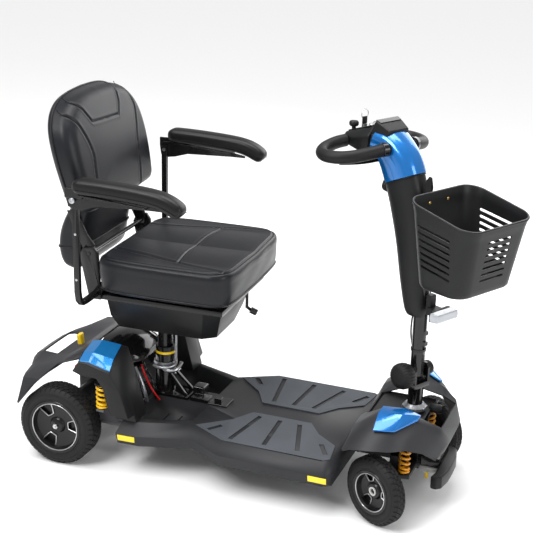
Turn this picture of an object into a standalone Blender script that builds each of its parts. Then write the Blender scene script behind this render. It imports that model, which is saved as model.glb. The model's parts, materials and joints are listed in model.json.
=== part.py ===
"""Four-wheel travel mobility scooter, built from separate named pieces.

Frame: +X is forward, +Y is the rider's left, +Z is up, Z = 0 is the ground.
Pieces are modelled from the rear axle and moved by the root empty so that the
origin is the middle of the footprint. The steered pieces hang under empties
turned by STEER_REST, with the tiller turned to the rider's right.
"""
import bpy
import bmesh
import math
from mathutils import Matrix, Vector

# ---------------------------------------------------------------- dimensions
ORIGIN_X = 0.52236          # rear axle to the middle of the footprint
ORIGIN_Y = 0.00114
STEER_REST = -28.0          # deg, tiller turned to the rider's right
SEAT_REST = 2.0             # deg, seat swivelled a little to the left
WHEELBASE = 0.939
KINGPIN_Y = 0.157
COLUMN_X = 0.951
REAR_R, REAR_RIM_R = 0.1143, 0.0790
FRONT_R, FRONT_RIM_R = 0.0931, 0.0605
REAR_FACE_Y = 0.2668        # outer face of a rear rim
FRONT_FACE = 0.0794         # outer face of a front rim, outboard of the kingpin
REAR_TYRE_W, FRONT_TYRE_W = 0.0745, 0.048
DECK_Z = 0.1545
DECK_CREASE_Z = 0.122
DECK_BOTTOM_Z = 0.092
POST_X, POST_R = 0.215, 0.0215
FOLD_Z = 0.352
TUBE_R = 0.019
HANDLE_R = 0.0165
GAP = 0.0003

for _o in list(bpy.data.objects):
    bpy.data.objects.remove(_o, do_unlink=True)
scene = bpy.context.scene
PARTS = bpy.data.collections.new("mobility_scooter")
CUTTERS = bpy.data.collections.new("cutters")
scene.collection.children.link(PARTS)
scene.collection.children.link(CUTTERS)

# ---------------------------------------------------------------- helpers


def empty(name, loc, parent=None, rot_z=0.0):
    e = bpy.data.objects.new(name, None)
    e.empty_display_size = 0.02
    e.location = loc
    e.rotation_euler = (0, 0, math.radians(rot_z))
    PARTS.objects.link(e)
    if parent:
        e.parent = parent
    return e


def material(name, rgb, rough=0.5, metal=0.0):
    m = bpy.data.materials.new(name)
    m.use_nodes = True
    b = m.node_tree.nodes["Principled BSDF"]
    b.inputs["Base Color"].default_value = (rgb[0], rgb[1], rgb[2], 1)
    b.inputs["Roughness"].default_value = rough
    b.inputs["Metallic"].default_value = metal
    return m


LOOKS = {
    "shell": ((0.055, 0.057, 0.062), 0.42, 0.0), "deck": ((0.045, 0.046, 0.05), 0.55, 0.0),
    "mat": ((0.16, 0.175, 0.195), 0.7, 0.0), "blue": ((0.02, 0.30, 0.75), 0.18, 0.3),
    "black": ((0.02, 0.02, 0.022), 0.45, 0.0), "gloss": ((0.015, 0.015, 0.017), 0.2, 0.0),
    "steel": ((0.03, 0.03, 0.032), 0.4, 0.6), "silver": ((0.7, 0.7, 0.72), 0.25, 1.0),
    "cast": ((0.18, 0.18, 0.19), 0.5, 0.8), "tyre": ((0.02, 0.02, 0.021), 0.8, 0.0),
    "rim": ((0.03, 0.03, 0.033), 0.35, 0.3), "yellow": ((0.9, 0.6, 0.02), 0.4, 0.0),
    "spring": ((0.9, 0.55, 0.03), 0.35, 0.2), "vinyl": ((0.03, 0.033, 0.042), 0.45, 0.0),
    "grip": ((0.03, 0.03, 0.032), 0.7, 0.0), "red": ((0.6, 0.01, 0.01), 0.2, 0.0),
    "lens": ((0.85, 0.87, 0.9), 0.15, 0.0), "grey": ((0.5, 0.5, 0.5), 0.5, 0.0),
}


def link(obj, cutter=False):
    (CUTTERS if cutter else PARTS).objects.link(obj)
    if cutter:
        obj.hide_render = True
        obj.display_type = 'WIRE'
    return obj


def mesh_obj(name, bm, cutter=False):
    me = bpy.data.meshes.new(name)
    bmesh.ops.recalc_face_normals(bm, faces=bm.faces)
    bm.to_mesh(me)
    bm.free()
    return link(bpy.data.objects.new(name, me), cutter)


def bake(obj):
    """Apply the object's modifiers and its transform to its own mesh."""
    bpy.context.view_layer.update()
    ev = obj.evaluated_get(bpy.context.evaluated_depsgraph_get())
    me = bpy.data.meshes.new_from_object(ev)
    me.transform(obj.matrix_world)
    bm = bmesh.new()
    bm.from_mesh(me)
    bmesh.ops.remove_doubles(bm, verts=bm.verts, dist=0.00002)
    bmesh.ops.recalc_face_normals(bm, faces=bm.faces)
    if bm.calc_volume(signed=True) < 0:
        bmesh.ops.reverse_faces(bm, faces=bm.faces)
    bm.to_mesh(me)
    bm.free()
    if obj.type == 'MESH':
        obj.modifiers.clear()
        obj.data = me
        obj.matrix_world = Matrix.Identity(4)
        return obj
    name = obj.name
    colls = list(obj.users_collection)
    hide = obj.hide_render
    bpy.data.objects.remove(obj, do_unlink=True)
    new = bpy.data.objects.new(name, me)
    link(new, CUTTERS in colls)
    new.hide_render = hide
    return new


def bevel(obj, width, segs=1, angle=35):
    m = obj.modifiers.new("bevel", 'BEVEL')
    m.width = width
    m.segments = segs
    m.limit_method = 'ANGLE'
    m.angle_limit = math.radians(angle)
    return bake(obj)


def box(name, lo, hi, bev=0.0, segs=1, cutter=False):
    bm = bmesh.new()
    bmesh.ops.create_cube(bm, size=1)
    for v in bm.verts:
        for i in range(3):
            v.co[i] = lo[i] if v.co[i] < 0 else hi[i]
    o = mesh_obj(name, bm, cutter)
    return bevel(o, bev, segs) if bev else o


PLANES = {
    'XY': Matrix.Identity(4),
    'XZ': Matrix(((1, 0, 0, 0), (0, 0, -1, 0), (0, 1, 0, 0), (0, 0, 0, 1))),   # local z -> -Y
    'YZ': Matrix(((0, 0, 1, 0), (1, 0, 0, 0), (0, 1, 0, 0), (0, 0, 0, 1))),    # local z -> +X
}


def prism(name, pts, a, b, plane='XY', bev=0.0, segs=1, cutter=False):
    """A flat outline extruded between a and b along the plane's normal axis."""
    cu = bpy.data.curves.new(name, 'CURVE')
    cu.dimensions = '2D'
    cu.fill_mode = 'BOTH'
    sp = cu.splines.new('POLY')
    sp.points.add(len(pts) - 1)
    for p, q in zip(sp.points, pts):
        p.co = (q[0], q[1], 0, 1)
    sp.use_cyclic_u = True
    cu.extrude = abs(b - a) / 2
    o = link(bpy.data.objects.new(name, cu), cutter)
    mid = (a + b) / 2
    off = {'XY': (0, 0, mid), 'XZ': (0, mid, 0), 'YZ': (mid, 0, 0)}[plane]
    o.matrix_world = Matrix.Translation(off) @ PLANES[plane]
    o = bake(o)
    return bevel(o, bev, segs) if bev else o


AXES = {
    'Z': Matrix.Identity(4),
    'Y': Matrix.Rotation(math.radians(-90), 4, 'X'),   # local +z -> +Y
    'X': Matrix.Rotation(math.radians(90), 4, 'Y'),    # local +z -> +X
}


def lathe(name, prof, centre=(0, 0, 0), axis='Z', steps=32, cutter=False):
    """Turn (radius, height) points around an axis through centre. A closed ring
    profile is given with its first point repeated; an open one starts and ends
    on the axis."""
    bm = bmesh.new()
    ring = prof[0] == prof[-1]
    pts = prof[:-1] if ring else prof
    vs = [bm.verts.new((r, 0, z)) for r, z in pts]
    for p, q in zip(vs, vs[1:]):
        bm.edges.new((p, q))
    if ring:
        bm.edges.new((vs[-1], vs[0]))
    me = bpy.data.meshes.new(name)
    bm.to_mesh(me)
    bm.free()
    o = link(bpy.data.objects.new(name, me), cutter)
    m = o.modifiers.new("screw", 'SCREW')
    m.steps = steps
    m.render_steps = steps
    m.use_merge_vertices = True
    m.merge_threshold = 0.00001
    o.matrix_world = Matrix.Translation(centre) @ AXES[axis]
    return bake(o)


def cyl(name, r, p, q, steps=24, cutter=False):
    """A plain round bar from p to q."""
    p, q = Vector(p), Vector(q)
    d = q - p
    bm = bmesh.new()
    bmesh.ops.create_cone(bm, cap_ends=True, segments=steps, radius1=r, radius2=r, depth=d.length)
    bmesh.ops.transform(bm, matrix=Matrix.Translation((p + q) / 2) @ d.to_track_quat('Z', 'Y').to_matrix().to_4x4(),
                        verts=bm.verts)
    return mesh_obj(name, bm, cutter)


def smooth_path(pts, n=6, cyclic=False):
    out = []
    N = len(pts)
    segs = N if cyclic else N - 1
    for i in range(segs):
        p = [Vector(pts[(i + k) % N]) if cyclic else Vector(pts[min(max(i + k, 0), N - 1)]) for k in (-1, 0, 1, 2)]
        for j in range(n):
            t = j / n
            out.append(0.5 * ((2 * p[1]) + (p[2] - p[0]) * t + (2 * p[0] - 5 * p[1] + 4 * p[2] - p[3]) * t * t
                              + (3 * p[1] - p[0] - 3 * p[2] + p[3]) * t ** 3))
    if not cyclic:
        out.append(Vector(pts[-1]))
    return out


def tube(name, pts, r, res=3, cyclic=False, cutter=False):
    cu = bpy.data.curves.new(name, 'CURVE')
    cu.dimensions = '3D'
    sp = cu.splines.new('POLY')
    sp.points.add(len(pts) - 1)
    for p, q in zip(sp.points, pts):
        p.co = (q[0], q[1], q[2], 1)
    sp.use_cyclic_u = cyclic
    cu.bevel_depth = r
    cu.bevel_resolution = res
    cu.use_fill_caps = True
    return bake(link(bpy.data.objects.new(name, cu), cutter))


def loft(name, rings, cutter=False):
    """Skin closed rings of equal count and cap both ends."""
    bm = bmesh.new()
    vs = [[bm.verts.new(p) for p in ring] for ring in rings]
    n = len(vs[0])
    for a, b in zip(vs, vs[1:]):
        for i in range(n):
            bm.faces.new((a[i], a[(i + 1) % n], b[(i + 1) % n], b[i]))
    bm.faces.new(vs[0])
    bm.faces.new(vs[-1])
    return mesh_obj(name, bm, cutter)


def shell(name, rows, thick, skip=()):
    """A skin lofted through rows of points, thickened inward with Solidify."""
    bm = bmesh.new()
    vs = [[bm.verts.new(p) for p in r] for r in rows]
    for i in range(len(vs) - 1):
        for j in range(len(vs[0]) - 1):
            if (i, j) in skip:
                continue
            bm.faces.new((vs[i][j], vs[i + 1][j], vs[i + 1][j + 1], vs[i][j + 1]))
    loose = [v for v in bm.verts if not v.link_faces]
    bmesh.ops.delete(bm, geom=loose, context='VERTS')
    me = bpy.data.meshes.new(name)
    bmesh.ops.recalc_face_normals(bm, faces=bm.faces)
    if sum(f.normal.z * f.calc_area() for f in bm.faces) < 0:
        bmesh.ops.reverse_faces(bm, faces=bm.faces)
    bm.to_mesh(me)
    bm.free()
    o = link(bpy.data.objects.new(name, me))
    m = o.modifiers.new("solid", 'SOLIDIFY')
    m.thickness = thick
    m.offset = -1
    m.use_even_offset = False
    return bake(o)


def boolean(obj, other, op='DIFFERENCE'):
    m = obj.modifiers.new("bool", 'BOOLEAN')
    m.operation = op
    m.solver = 'EXACT'
    m.object = other
    bake(obj)
    bpy.data.objects.remove(other, do_unlink=True)
    return obj


def union(name, objs):
    base = objs[0]
    for o in objs[1:]:
        boolean(base, o, 'UNION')
    base.name = name
    return base


def mirrored(rows):
    """Half rows (x, y, z) from the centreline outward -> full rows."""
    out = []
    for r in rows:
        out.append([(x, -y, z) for x, y, z in reversed(r)] + [(x, y, z) for x, y, z in r])
    return out


def flip(pts, s):
    return [(p[0], p[1] * s, p[2]) for p in pts]


def done(obj, look, pivot, parent=None, smooth=False):
    """Material, origin on the pivot (in the parent's space) and parenting."""
    spec = LOOKS[look]
    obj.data.materials.clear()
    obj.data.materials.append(material("mat_" + obj.name, *spec))
    par = parent or ROOT
    obj.data.transform(Matrix.Translation(-Vector(pivot)))
    obj.parent = par
    obj.location = pivot
    if smooth:
        for p in obj.data.polygons:
            p.use_smooth = True
    return obj


SIDES = (("right", -1), ("left", 1))
ROOT = empty("root", (-ORIGIN_X, -ORIGIN_Y, 0))
STEER = empty("steer_pivot", (COLUMN_X, 0, 0), ROOT, STEER_REST)
FOLD = empty("fold_pivot", (0, 0, FOLD_Z), STEER)
KNUCKLE = {}
for _n, _s in SIDES:
    KNUCKLE[_s] = empty("knuckle_pivot_" + _n, (WHEELBASE, _s * KINGPIN_Y, 0), ROOT, STEER_REST)
SWIVEL = empty("swivel_pivot", (POST_X, 0, 0.36), ROOT, SEAT_REST)
AXLE = empty("axle_pivot", (0.148, 0, 0.106), ROOT)

# ================================================================ chassis
TOP = [(0.190, 0.222), (0.232, 0.217), (0.371, 0.170), (0.479, 0.232), (0.775, 0.232), (0.797, 0.222)]
MID = [(0.178, 0.243), (0.240, 0.240), (0.383, 0.194), (0.485, 0.250), (0.780, 0.250), (0.802, 0.236)]
BOT = [(0.182, 0.238), (0.242, 0.235), (0.386, 0.190), (0.487, 0.245), (0.777, 0.245), (0.800, 0.231)]


def ring_of(half, z):
    return [(x, -y, z) for x, y in half] + [(x, y, z) for x, y in reversed(half)]


deck = loft("deck_pan", [ring_of(BOT, DECK_BOTTOM_Z), ring_of(MID, DECK_CREASE_Z), ring_of(TOP, DECK_Z)])
for _n, _s in SIDES:
    bay = [(0.205, 0.040), (0.367, 0.040), (0.367, 0.145), (0.240, 0.192), (0.205, 0.192)]
    bay = [(x, y * _s) for x, y in (bay if _s > 0 else bay[::-1])]
    boolean(deck, prism("cut_bay", bay, 0.108, 0.2, cutter=True))
under = [(0.41, 0.034), (0.41, 0.185), (0.50, 0.232), (0.77, 0.232), (0.785, 0.215), (0.785, 0.034)]
for _n, _s in SIDES:
    pts = [(x, y * _s) for x, y in (under[::-1] if _s > 0 else under)]
    boolean(deck, prism("cut_under", pts, 0.05, 0.146, cutter=True))
boolean(deck, box("cut_spine", (0.1, -0.0265, 0.05), (0.9, 0.0265, 0.1195), cutter=True))
done(deck, "deck", (0.49, 0, 0.12))

spine = box("main_frame", (0.160, -0.025, 0.094), (1.034, 0.025, 0.118))
frame_bits = [spine, box("b", (0.160, -0.12, 0.0945), (0.1745, 0.12, 0.1175)),
              box("b", (0.905, -0.052, 0.0945), (0.985, 0.052, 0.1175))]
for _n, _s in SIDES:
    y0, y1 = sorted((_s * 0.100, _s * 0.108))
    lug = box("b", (0.138, y0, 0.0945), (0.165, y1, 0.1175))
    boolean(lug, cyl("c", 0.0063, (0.148, -0.2, 0.106), (0.148, 0.2, 0.106), 16, True))
    y0, y1 = sorted((_s * 0.044, _s * 0.050))
    leg = box("b", (0.952, y0, 0.110), (0.980, y1, 0.2066))
    y0, y1 = sorted((_s * 0.046, _s * 0.152))
    top = box("b", (0.950, y0, 0.2010), (0.982, y1, 0.2066))
    frame_bits += [lug, leg, top]
frame_bits.append(lathe("b", [(0.0145, 0.1150), (0.030, 0.1150), (0.030, 0.124), (0.0235, 0.127), (0.0235, 0.2440), (0.0145, 0.2440), (0.0145, 0.1150)],
                        (COLUMN_X, 0, 0), steps=20))
frame = union("main_frame", frame_bits)
boolean(frame, cyl("c", 0.0145, (COLUMN_X, 0, 0.1200), (COLUMN_X, 0, 0.3), 20, True))
done(frame, "steel", (0.5, 0, 0.106))

MATPOLY = [(0.387, 0.1695), (0.466, 0.099), (0.502, 0.034), (0.674, 0.033), (0.714, 0.088), (0.776, 0.135),
           (0.787, 0.212), (0.770, 0.225), (0.486, 0.225)]
GROOVES = [((0.428, 0.182), (0.454, 0.146)), ((0.504, 0.211), (0.530, 0.052)), ((0.600, 0.206), (0.590, 0.053)),
           ((0.693, 0.202), (0.648, 0.056)), ((0.768, 0.193), (0.739, 0.141))]
for _n, _s in SIDES:
    pts = [(x, y * _s) for x, y in (MATPOLY if _s < 0 else MATPOLY[::-1])]
    mat = prism("deck_mat_" + _n, pts, DECK_Z + GAP, DECK_Z + 0.003)
    for (x0, y0), (x1, y1) in GROOVES:
        d = Vector((x1 - x0, y1 - y0)).normalized()
        n = Vector((-d.y, d.x)) * 0.0065
        g = [(x0 + n.x, y0 + n.y), (x0 - n.x, y0 - n.y), (x1 - n.x, y1 - n.y), (x1 + n.x, y1 + n.y)]
        boolean(mat, prism("c", [(x, y * _s) for x, y in g], 0.15, 0.17, cutter=True))
    done(mat, "mat", (0.6, _s * 0.14, DECK_Z))

# seat post socket with base plate and braces
sock = lathe("post_socket", [(POST_R + GAP, 0.1605), (0.0285, 0.1605), (0.0285, 0.300), (POST_R + GAP, 0.300),
                             (POST_R + GAP, 0.1605)], (POST_X, 0, 0), steps=24)
base = box("b", (0.192, -0.036, DECK_Z + GAP), (0.300, 0.036, 0.1625))
parts_ = [sock, base]
for _n, _s in SIDES:
    br = loft("b", [[(0.288, _s * 0.020, 0.160), (0.298, _s * 0.020, 0.160), (0.298, _s * 0.028, 0.160), (0.288, _s * 0.028, 0.160)],
                    [(0.226, _s * 0.012, 0.226), (0.236, _s * 0.012, 0.226), (0.236, _s * 0.020, 0.226), (0.226, _s * 0.020, 0.226)]])
    parts_.append(br)
sock = union("post_socket", parts_)
boolean(sock, cyl("c", POST_R + GAP, (POST_X, 0, 0.163), (POST_X, 0, 0.31), 24, True))
done(sock, "steel", (POST_X, 0, 0.16), smooth=False)
clamp = lathe("post_clamp", [(0.0288, 0.238), (0.0335, 0.238), (0.0335, 0.254), (0.0288, 0.254), (0.0288, 0.238)], (POST_X, 0, 0), steps=24)
lever = tube("b", smooth_path([(0.222, -0.0325, 0.243), (0.236, -0.044, 0.240), (0.258, -0.040, 0.241), (0.268, -0.024, 0.247),
                               (0.269, -0.008, 0.257)], 3), 0.0055, 1)
clamp = union("post_clamp", [clamp, lever])
done(clamp, "silver", (POST_X, 0, 0.246))

conn = union("battery_connector", [box("b", (0.3025, -0.006, DECK_Z + GAP), (0.338, 0.031, 0.188), 0.003),
                                   box("b", (0.308, -0.034, DECK_Z + GAP), (0.362, 0.002, 0.166))])
done(conn, "gloss", (0.32, 0, 0.155))

# ---------------------------------------------------------------- rear body
REAR_ROWS = mirrored([
    [(-0.166, 0.0, 0.236), (-0.165, 0.072, 0.235), (-0.160, 0.100, 0.232), (-0.150, 0.128, 0.226), (-0.136, 0.150, 0.220), (-0.132, 0.156, 0.212)],
    [(-0.140, 0.0, 0.250), (-0.140, 0.078, 0.249), (-0.138, 0.108, 0.246), (-0.132, 0.150, 0.240), (-0.124, 0.205, 0.234), (-0.124, 0.226, 0.190)],
    [(-0.094, 0.0, 0.247), (-0.094, 0.078, 0.247), (-0.098, 0.115, 0.251), (-0.102, 0.180, 0.250), (-0.104, 0.250, 0.241), (-0.112, 0.2745, 0.172)],
    [(-0.045, 0.0, 0.258), (-0.045, 0.075, 0.258), (-0.045, 0.115, 0.262), (-0.045, 0.180, 0.260), (-0.050, 0.250, 0.246), (-0.070, 0.2745, 0.226)],
    [(0.000, 0.0, 0.292), (0.000, 0.070, 0.292), (0.000, 0.105, 0.289), (-0.005, 0.125, 0.286), (-0.012, 0.150, 0.279), (-0.026, 0.180, 0.268)],
    [(0.045, 0.0, 0.318), (0.045, 0.060, 0.318), (0.045, 0.095, 0.313), (0.045, 0.115, 0.306), (0.044, 0.130, 0.298), (0.040, 0.145, 0.288)],
])
shroud = shell("rear_shroud", REAR_ROWS, 0.005, skip={(1, 4), (1, 5), (1, 6)})
done(shroud, "shell", (-0.05, 0, 0.25))

cover = loft("motor_cover", [
    [(0.049, y, z) for y, z in ((-0.115, 0.262), (-0.105, 0.300), (-0.06, 0.317), (0.06, 0.317), (0.105, 0.300), (0.115, 0.262))],
    [(0.095, y, z) for y, z in ((-0.110, 0.262), (-0.098, 0.300), (-0.05, 0.326), (0.05, 0.326), (0.098, 0.300), (0.110, 0.262))],
    [(0.150, y, z) for y, z in ((-0.085, 0.262), (-0.078, 0.285), (-0.04, 0.306), (0.04, 0.306), (0.078, 0.285), (0.085, 0.262))],
    [(0.172, y, z) for y, z in ((-0.060, 0.262), (-0.055, 0.270), (-0.03, 0.282), (0.03, 0.282), (0.055, 0.270), (0.060, 0.262))],
])
done(cover, "gloss", (0.11, 0, 0.28))

FEND_IN = [(0.047, 0.292), (0.065, 0.344), (0.100, 0.352), (0.176, 0.347), (0.202, 0.270), (0.232, 0.1548), (0.172, 0.1548),
           (0.158, 0.200), (0.146, 0.250), (0.126, 0.285), (0.080, 0.285)]
FEND_OUT = [(0.052, 0.288), (0.070, 0.315), (0.100, 0.316), (0.166, 0.299), (0.196, 0.250), (0.228, 0.1548), (0.172, 0.1548),
            (0.158, 0.200), (0.146, 0.250), (0.126, 0.278), (0.080, 0.278)]


for _n, _s in SIDES:
    rings = [[(x, _s * 0.156, z) for x, z in FEND_IN], [(x, _s * 0.216, (z + zo) / 2 + 0.002) for (x, z), (xo, zo) in zip(FEND_IN, FEND_OUT)],
             [(x, _s * 0.2505, z) for x, z in FEND_OUT]]
    rings[1] = [(x, y, 0.1548 if abs(z - 0.1568) < 1e-6 else z) for x, y, z in rings[1]]
    # keep the foot clear of the deck edge
    fend = loft("rear_fender_" + _n, rings)
    boolean(fend, box("c", (0.13, min(_s * 0.222, _s * 0.30), 0.10), (0.26, max(_s * 0.222, _s * 0.30), 0.175), cutter=True))
    done(fend, "shell", (0.15, _s * 0.2, 0.25))

fl = loft("freewheel_lever", [[(-0.050, -0.038, 0.2645), (-0.034, -0.038, 0.2680), (-0.034, -0.020, 0.2680), (-0.050, -0.020, 0.2645)],
                              [(-0.053, -0.041, 0.298), (-0.040, -0.041, 0.301), (-0.040, -0.017, 0.301), (-0.053, -0.017, 0.298)]])
done(bevel(fl, 0.0025), "yellow", (-0.046, -0.030, 0.273))

# ---------------------------------------------------------------- front body
FRONT_ROWS = mirrored([
    [(0.7960, 0.070, 0.1580), (0.7965, 0.110, 0.1580), (0.8010, 0.150, 0.1620), (0.8120, 0.195, 0.1860), (0.8220, 0.226, 0.1980)],
    [(0.838, 0.068, 0.238), (0.835, 0.105, 0.248), (0.832, 0.155, 0.244), (0.836, 0.206, 0.230), (0.842, 0.238, 0.212)],
    [(0.900, 0.078, 0.262), (0.895, 0.115, 0.284), (0.893, 0.165, 0.282), (0.890, 0.215, 0.246), (0.890, 0.243, 0.219)],
    [(0.955, 0.082, 0.266), (0.960, 0.115, 0.288), (0.962, 0.156, 0.286), (0.952, 0.202, 0.248), (0.946, 0.230, 0.220)],
    [(1.008, 0.086, 0.254), (1.005, 0.110, 0.268), (1.000, 0.136, 0.262), (0.988, 0.168, 0.234), (0.982, 0.190, 0.212)],
    [(1.046, 0.080, 0.240), (1.042, 0.098, 0.243), (1.034, 0.114, 0.235), (1.022, 0.134, 0.208), (1.016, 0.148, 0.190)],
    [(1.064, 0.046, 0.192), (1.062, 0.078, 0.194), (1.056, 0.094, 0.187), (1.048, 0.110, 0.170), (1.044, 0.120, 0.162)],
    [(1.048, 0.030, 0.148), (1.046, 0.056, 0.149), (1.044, 0.070, 0.150), (1.040, 0.084, 0.152), (1.036, 0.094, 0.153)],
])
fair = shell("front_fairing", FRONT_ROWS, 0.004, skip={(1, 4), (2, 4), (3, 4), (4, 4)})
done(fair, "shell", (0.95, 0, 0.2))

for _n, _s in SIDES:
    PANEL_ROWS = [[(0.897, 0.119, 0.2885), (0.896, 0.163, 0.2872), (0.897, 0.207, 0.2590)], [(0.928, 0.119, 0.2910), (0.928, 0.159, 0.2900), (0.925, 0.203, 0.2605)],
              [(0.958, 0.119, 0.2930), (0.958, 0.155, 0.2915), (0.950, 0.197, 0.2620)], [(0.996, 0.113, 0.2785), (0.9955, 0.125, 0.2770), (0.994, 0.137, 0.2740)]]
for _n, _s in SIDES:
    rings = []
    for row in PANEL_ROWS:
        low = [(x, _s * y, z) for x, y, z in row]
        rings.append(low + [(x, y + _s * 0.001, z + 0.0037) for x, y, z in reversed(low)])
    done(loft("front_panel_" + _n, rings), "blue", (0.95, _s * 0.16, 0.28))

bump = prism("front_bumper", [(1.0345, -0.060), (1.028, -0.094), (1.046, -0.098), (1.058, -0.086), (1.066, -0.045), (1.067, 0.0),
                              (1.066, 0.045), (1.058, 0.086), (1.046, 0.098), (1.028, 0.094), (1.0345, 0.060)], 0.066, 0.102, bev=0.003)
done(bump, "black", (1.05, 0, 0.086))

# ================================================================ rear running gear
gear_bits = [lathe("b", [(0, -0.2625), (0.0075, -0.2625), (0.0075, -0.190), (0.011, -0.186), (0.011, 0.186), (0.0075, 0.190), (0.0075, 0.2625), (0, 0.2625)],
                   (0, 0, REAR_R), 'Y', 16),
             box("b", (-0.062, -0.020, 0.066), (0.058, 0.062, 0.176), 0.012, 2),
             lathe("b", [(0, 0.060), (0.045, 0.060), (0.050, 0.070), (0.050, 0.110), (0.036, 0.124), (0, 0.124)], (-0.002, 0, 0.118), 'Y', 16),
             lathe("b", [(0, -0.128), (0.036, -0.128), (0.042, -0.120), (0.042, 0.0), (0, 0.0)], (0.004, 0, 0.122), 'Y', 16)]
gear = union("transaxle", gear_bits)
done(gear, "cast", (0.0, 0, REAR_R), AXLE)
gear.location = Vector((0.0, 0, REAR_R)) - Vector((0.148, 0, 0.106))
sw_bits = [cyl("b", 0.0060, (0.148, -0.158, 0.106), (0.148, 0.158, 0.106), 16)]
for _n, _s in SIDES:
    y0, y1 = sorted((_s * 0.148, _s * 0.156))
    plate = prism("b", [(-0.022, 0.098), (-0.016, 0.134), (0.016, 0.138), (0.060, 0.130), (0.118, 0.1775), (0.138, 0.1775), (0.160, 0.112), (0.156, 0.096), (0.06, 0.096)],
                  y0, y1, 'XZ')
    pad = box("b", (0.108 + 0.006, min(_s * 0.150, _s * 0.232), 0.1715), (0.137, max(_s * 0.150, _s * 0.232), 0.1775))
    boolean(plate, cyl("c", 0.0113, (0, -0.3, REAR_R), (0, 0.3, REAR_R), 16, True))
    sw_bits += [plate, pad]
sw = union("swing_frame", sw_bits)
done(sw, "steel", (0.148, 0, 0.106), AXLE)
sw.location = (0, 0, 0)


def coil(name, r, wire, z0, z1, turns, c, per=8):
    pts = []
    n = int(turns * per)
    for i in range(n + 1):
        t = i / n
        a = 2 * math.pi * turns * t
        # the end turns sit nearly flat
        e = min(1.0, max(0.0, (t * turns - 0.6) / (turns - 1.2)))
        z = z0 + wire + 0.0006 + (z1 - z0 - 2 * wire - 0.0012) * (0.10 * t + 0.90 * e)
        pts.append((c[0] + r * math.cos(a), c[1] + r * math.sin(a), z))
    return tube(name, pts, wire, 0)


for _n, _s in SIDES:
    done(coil("rear_spring_" + _n, 0.0128, 0.0024, 0.1778, 0.2520, 5.0, (0.124, _s * 0.2150)), "spring", (0.124, _s * 0.215, 0.1778))
    done(coil("front_spring_" + _n, 0.0122, 0.0024, 0.1223, 0.2008, 5.0, (0.966, _s * 0.135)), "spring", (0.966, _s * 0.135, 0.1223))

# wheels: local frame, outboard = +y * s


def wheel(tag, s, R, rim_r, w, face, bore, pivot, parent):
    """Rim, tyre and hub cap about an axle through pivot; face is the distance of
    the rim's outer face from the pivot along the axle."""
    px, py, pz = pivot
    f = face
    wi = w - 0.0035
    rr = rim_r
    prof = [(rr - 0.0065, f), (rr, f - 0.001), (rr, f - wi), (rr - 0.0045, f - wi), (rr - 0.0055, f - wi * 0.62), (0.021, f - wi * 0.60),
            (0.020, f - wi * 0.92), (bore, f - wi * 0.92), (bore, f - 0.016), (0.019, f - 0.016), (0.024, f - 0.020), (rr - 0.014, f - 0.019),
            (rr - 0.0065, f)]
    prof = [(r, h * s) for r, h in prof]
    rim = lathe("rim_" + tag, prof, pivot, 'Y', 24)
    for k in range(3):
        a = math.radians(5 + 120 * k)
        r0, r1 = rr * 0.44, rr * 0.80
        h0, h1 = rr * 0.13, rr * 0.26
        quad = []
        for rad, hh in ((r0, -h0), (r1, -h1), (r1, h1), (r0, h0)):
            x = rad * math.cos(a) - hh * math.sin(a)
            z = rad * math.sin(a) + hh * math.cos(a)
            quad.append((px + x, pz + z))
        y0, y1 = sorted((py + s * (f - 0.012), py + s * (f - 0.0235)))
        boolean(rim, prism("c", quad, y0, y1, 'XZ', cutter=True))
    done(rim, "rim", pivot, parent)
    g = rr + GAP
    sw_ = f + 0.0006
    tp = [(g, f - 0.0012), (g + (R - g) * 0.45, sw_), (R - 0.0045, f - 0.006), (R, f - 0.014), (R, f - w + 0.014),
          (R - 0.0045, f - w + 0.005), (g, f - w + 0.002), (g, f - 0.0012)]
    tyre = lathe("tyre_" + tag, [(r, h * s) for r, h in tp], pivot, 'Y', 24)
    done(tyre, "tyre", pivot, parent, smooth=True)


for _n, _s in SIDES:
    wheel("rear_" + _n, _s, REAR_R, REAR_RIM_R, REAR_TYRE_W, REAR_FACE_Y - 0.0, 0.0079, (0, 0, REAR_R), ROOT)
    wheel("front_" + _n, _s, FRONT_R, FRONT_RIM_R, FRONT_TYRE_W, FRONT_FACE, 0.0069, (0, 0, FRONT_R), KNUCKLE[_s])

# ================================================================ front running gear
for _n, _s in SIDES:
    arm = prism("front_arm_" + _n, [(x, y * _s) for x, y in ((0.912, 0.0605), (0.984, 0.0605), (0.984, 0.148), (0.955, 0.156), (0.948, 0.168), (0.930, 0.168), (0.922, 0.150))],
                0.110, 0.122)
    hub = cyl("b", 0.0045, (0.908, _s * 0.0605, 0.116), (0.988, _s * 0.0605, 0.116), 12)
    arm = union("front_arm_" + _n, [arm, hub])
    boolean(arm, cyl("c", 0.0093, (WHEELBASE, _s * KINGPIN_Y, 0.1), (WHEELBASE, _s * KINGPIN_Y, 0.13), 14, True))
    done(arm, "steel", (WHEELBASE, _s * 0.0605, 0.116))
    # knuckle in its own turned frame
    kn_bits = [lathe("b", [(0, 0.082), (0.013, 0.082), (0.014, 0.085), (0.014, 0.1090), (0.009, 0.1094), (0.009, 0.1224), (0.0135, 0.1226), (0.0135, 0.131), (0, 0.133)], steps=14),
               cyl("b", 0.0065, (0, 0, FRONT_R), (0, _s * (FRONT_FACE - 0.018), FRONT_R), 12),
               box("b", (-0.052, -0.006, 0.0872), (0.0, 0.006, 0.0955))]
    kn = union("knuckle_" + _n, kn_bits)
    done(kn, "steel", (0, 0, 0.1), KNUCKLE[_s])

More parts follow.
